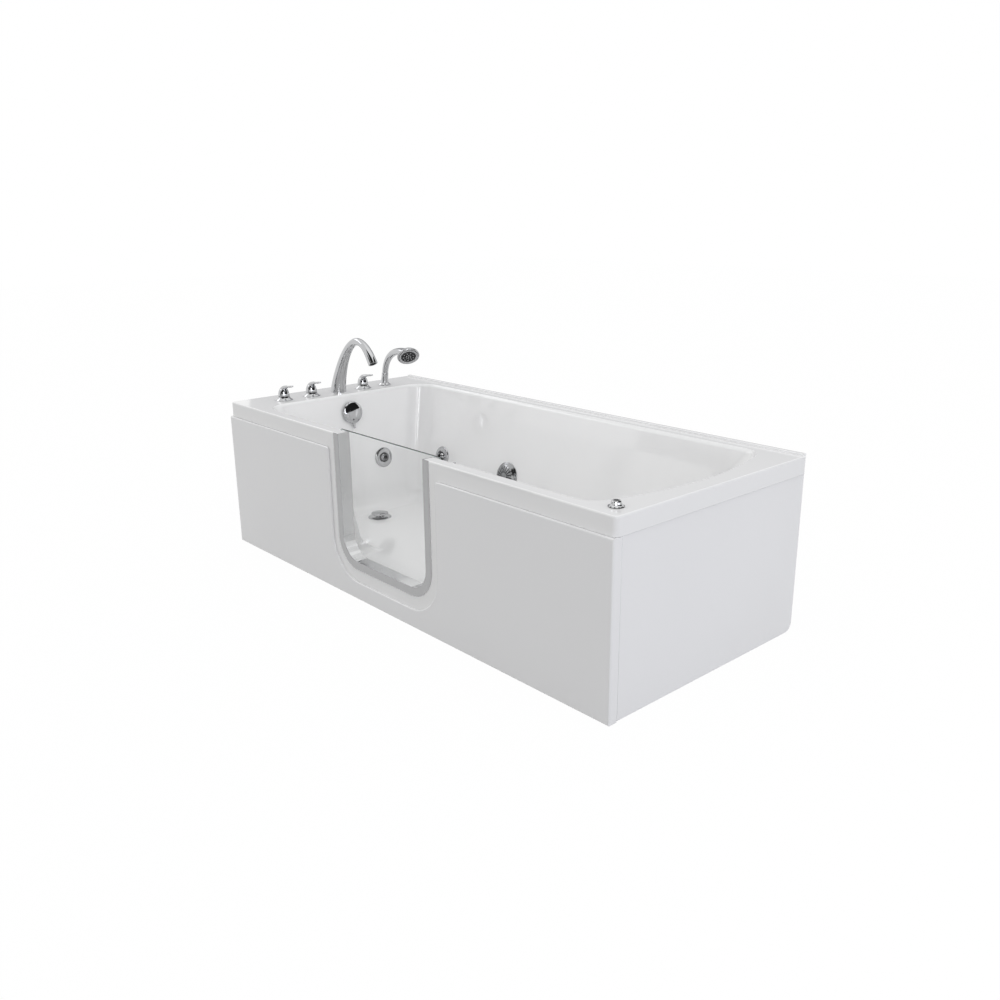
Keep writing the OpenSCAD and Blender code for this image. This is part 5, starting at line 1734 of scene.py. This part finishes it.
CAD_FINISHES: dict[str, Finish] = {
    "base_board": BOARD, "panel_brackets": ZINC, "base_rails": FRAME_PAINT,
    "cross_bars": FRAME_PAINT, "frame_posts": FRAME_PAINT, "top_rails": FRAME_PAINT,
    "frame_bolts": ZINC, "foot_locknuts": ZINC, "hinge_brackets": HINGE_STEEL,
    "hinge_pins": CHROME, "hinge_clamps": HINGE_STEEL, "hinge_backplates": HINGE_STEEL,
    "hinge_screws": CHROME, "latch_base": HINGE_STEEL, "latch_lever": CHROME,
    "deck_nuts": BRASS, "valve_bodies": BRASS, "tap_pipes": COPPER, "overflow_elbow": PVC,
    "waste_pipe": PVC, "jet_bodies": PVC, "suction_body": BLACK_PLASTIC_AND_PAINTED_SHADE, "pump_motor": BLACK_PLASTIC_AND_PAINTED_SHADE,
    "pump_housing": BLACK_PLASTIC_AND_PAINTED_SHADE, "pump_impeller": BLACK_PLASTIC_AND_PAINTED_SHADE, "jet_pipes": PVC, "air_valve": PVC,
    "tub_shell": SHELL_ACRYLIC, "front_panel": PANEL_ACRYLIC, "end_panel": PANEL_ACRYLIC,
    "door_frame": STEEL_PAINTED_DARK, "door_clamp_frame": HINGE_STEEL, "door_seal": SEAL,
    "door_glass": GLASS, "shower_face": BLACK_PLASTIC_AND_PAINTED_SHADE, "aerator": BLACK_PLASTIC_AND_PAINTED_SHADE,
}


def dress_cad_nodes() -> None:
    """Gives every node from the frame its finish, feet and chrome by default."""
    for name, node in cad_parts.items():
        finish = CAD_FINISHES.get(name, FOOT_RUBBER if name.startswith("foot_") else CHROME)
        if name.startswith("foot_jet"):
            finish = CHROME
        Bench.coat(node, [finish])


# ---------------------------------------------------------------- studio


@dataclass
class Studio:
    """A pale floor, soft lamps, a white surround and the photograph's camera."""

    lens: float = 34.28
    sensor: float = 36
    camera_at: Point = (2.2370, -1.9217, 1.1834)
    azimuth: float = 48.160
    elevation: float = 17.086
    roll: float = -0.483
    ambient: float = 0.87
    floor_grey: float = 0.34
    floor_glow: float = 1.05
    floor_share: float = 0.93
    far: float = 100
    hub: Point = (-0.8, 0, 0.55)

    def build(self) -> None:
        """Sets the whole studio up."""
        self.camera()
        self.world()
        self.floor()
        self.lamps()
        self.cards()
        bpy.context.scene.view_settings.view_transform = "Standard"

    def camera(self) -> None:
        """Makes the camera and stands it where the photograph was taken."""
        data = bpy.data.cameras.new("camera")
        data.lens = self.lens
        data.sensor_width = self.sensor
        data.clip_end = self.far
        camera = bpy.data.objects.new("camera", data)
        bpy.context.scene.collection.objects.link(camera)
        a, e = math.radians(self.azimuth), math.radians(self.elevation)
        ahead = Vector((-math.sin(a) * math.cos(e), math.cos(a) * math.cos(e), -math.sin(e)))
        right = Vector((math.cos(a), math.sin(a), 0))
        up = right.cross(ahead)
        turn = math.radians(self.roll)
        tilted = right * math.cos(turn) + up * math.sin(turn)
        upward = -right * math.sin(turn) + up * math.cos(turn)
        camera.matrix_world = Matrix.Translation(self.camera_at) @ Matrix(
            (tilted, upward, -ahead)).transposed().to_4x4()
        bpy.context.scene.camera = camera

    def world(self) -> None:
        """Makes a world that is white to the eye and a little dimmer as a light."""
        world = bpy.data.worlds.new("surround")
        bpy.context.scene.world = world
        sheet = NodeSheet(world)
        light = sheet.add("Background", in_Color=(0.998, 0.998, 1, 1), in_Strength=self.ambient)
        white = sheet.add("Background", in_Color=WHITE, in_Strength=1)
        sheet.blend(sheet.seen(), light, white)

    def floor(self) -> None:
        """Makes the pale floor, which is white to the eye where nothing shades it."""
        Bench.clear()
        bpy.ops.mesh.primitive_plane_add(size=30)
        floor = bpy.context.object
        floor.name = "studio_floor"
        finish = bpy.data.materials.new("studio_floor")
        sheet = NodeSheet(finish)
        matt = sheet.add("BsdfDiffuse", in_Color=(*[self.floor_grey] * 3, 1))
        glow = sheet.add("Emission", in_Color=WHITE, in_Strength=self.floor_glow)
        share = sheet.add("Math", operation="MULTIPLY")
        share.inputs[1].default_value = self.floor_share
        sheet.join(sheet.seen(), share.inputs[0])
        sheet.blend(share.outputs[0], matt, glow)
        floor.data.materials.append(finish)

    def lamp(self, name: str, at: Point, aim: Point, size: float, power: float,
             tint: Point = (1, 1, 1)) -> None:
        """Adds one soft lamp.

        Args:
            name: Its name.
            at: Where it stands, in metres.
            aim: What it points at.
            size: Its side.
            power: Its power in watts.
            tint: Its colour.
        """
        data = bpy.data.lights.new(name, "AREA")
        data.size, data.energy, data.color = size, power, tint
        lamp = bpy.data.objects.new(name, data)
        lamp.location = at
        lamp.rotation_mode = "QUATERNION"
        lamp.rotation_quaternion = (Vector(aim) - Vector(at)).to_track_quat("-Z", "Y")
        bpy.context.scene.collection.objects.link(lamp)

    def lamps(self) -> None:
        """Adds the lamps: one above and one at the end panel."""
        self.lamp("lamp_top", (0.2, 0.2, 3.4), (0, 0, 0.3), 2.6, 5.5)
        self.lamp("lamp_end", (3.4, -0.35, 0.75), (0.9, 0, 0.35), 1.1, 12.5, (0.84, 0.87, 1))

    def card(self, name: str, toward: float, height: float, away: float, half: Flat,
             level: float) -> None:
        """Hangs a card that only reflections show, so that metal has tones to mirror.

        Args:
            name: Its name.
            toward: Its bearing from the taps, in degrees from the tub's head end.
            height: Its elevation in degrees.
            away: Its distance in metres.
            half: Half its width and half its height, in metres.
            level: How bright it is.
        """
        finish = bpy.data.materials.new(name)
        sheet = NodeSheet(finish)
        glow = sheet.add("Emission", in_Color=(level, level, level * 1.03, 1), in_Strength=1)
        sheet.feed(sheet.out, Surface=glow.outputs[0])
        card = Bench.block(name, (-10, -half[0] / MM, -half[1] / MM),
                           (10, half[0] / MM, half[1] / MM))
        turn = (Matrix.Rotation(math.radians(toward), 4, "Z")
                @ Matrix.Rotation(math.radians(-height), 4, "Y"))
        card.data.transform(Matrix.Translation(self.hub) @ turn
                            @ Matrix.Translation((away, 0, 0)))
        card.data.materials.append(finish)
        card.visible_camera = card.visible_diffuse = card.visible_shadow = False
        card.visible_transmission = False

    def cards(self) -> None:
        """Hangs the dark cards and the bright strips that give chrome its contrast."""
        for form in (("card_dark_right", 22, 27, 3.4, (2.4, 1.5), 0.02),
                     ("card_dark_near", 306, 32, 3.8, (1.7, 1.9), 0.03),
                     ("card_back", 126, 24, 3.4, (2.1, 1.15), 0.48),
                     ("card_dark_bar", 268, 4, 1.6, (0.3, 0.75), 0.02),
                     ("strip_near", 322, 8, 3.2, (0.12, 1.25), 8),
                     ("strip_far", 334, 8, 3.2, (0.08, 1.25), 8),
                     ("softbox_front", 204, 41, 3.4, (1.6, 0.42), 2.4)):
            self.card(*form)


# ---------------------------------------------------------------- all together


def main() -> None:
    """Builds the studio and every dressed piece."""
    places = Places.from_frame()
    basin = Basin(places)
    opening = DoorOpening(top_z=places.rim_z)
    shell = TubShell(places, basin, opening)
    Studio().build()
    dress_cad_nodes()
    for part in (shell, Panels(places, shell), Door(places, opening), TapSet(places, basin),
                 BasinFittings(places, basin)):
        part.build()
        log.info("built %s", type(part).__name__)


if __name__ == "__main__":
    main()
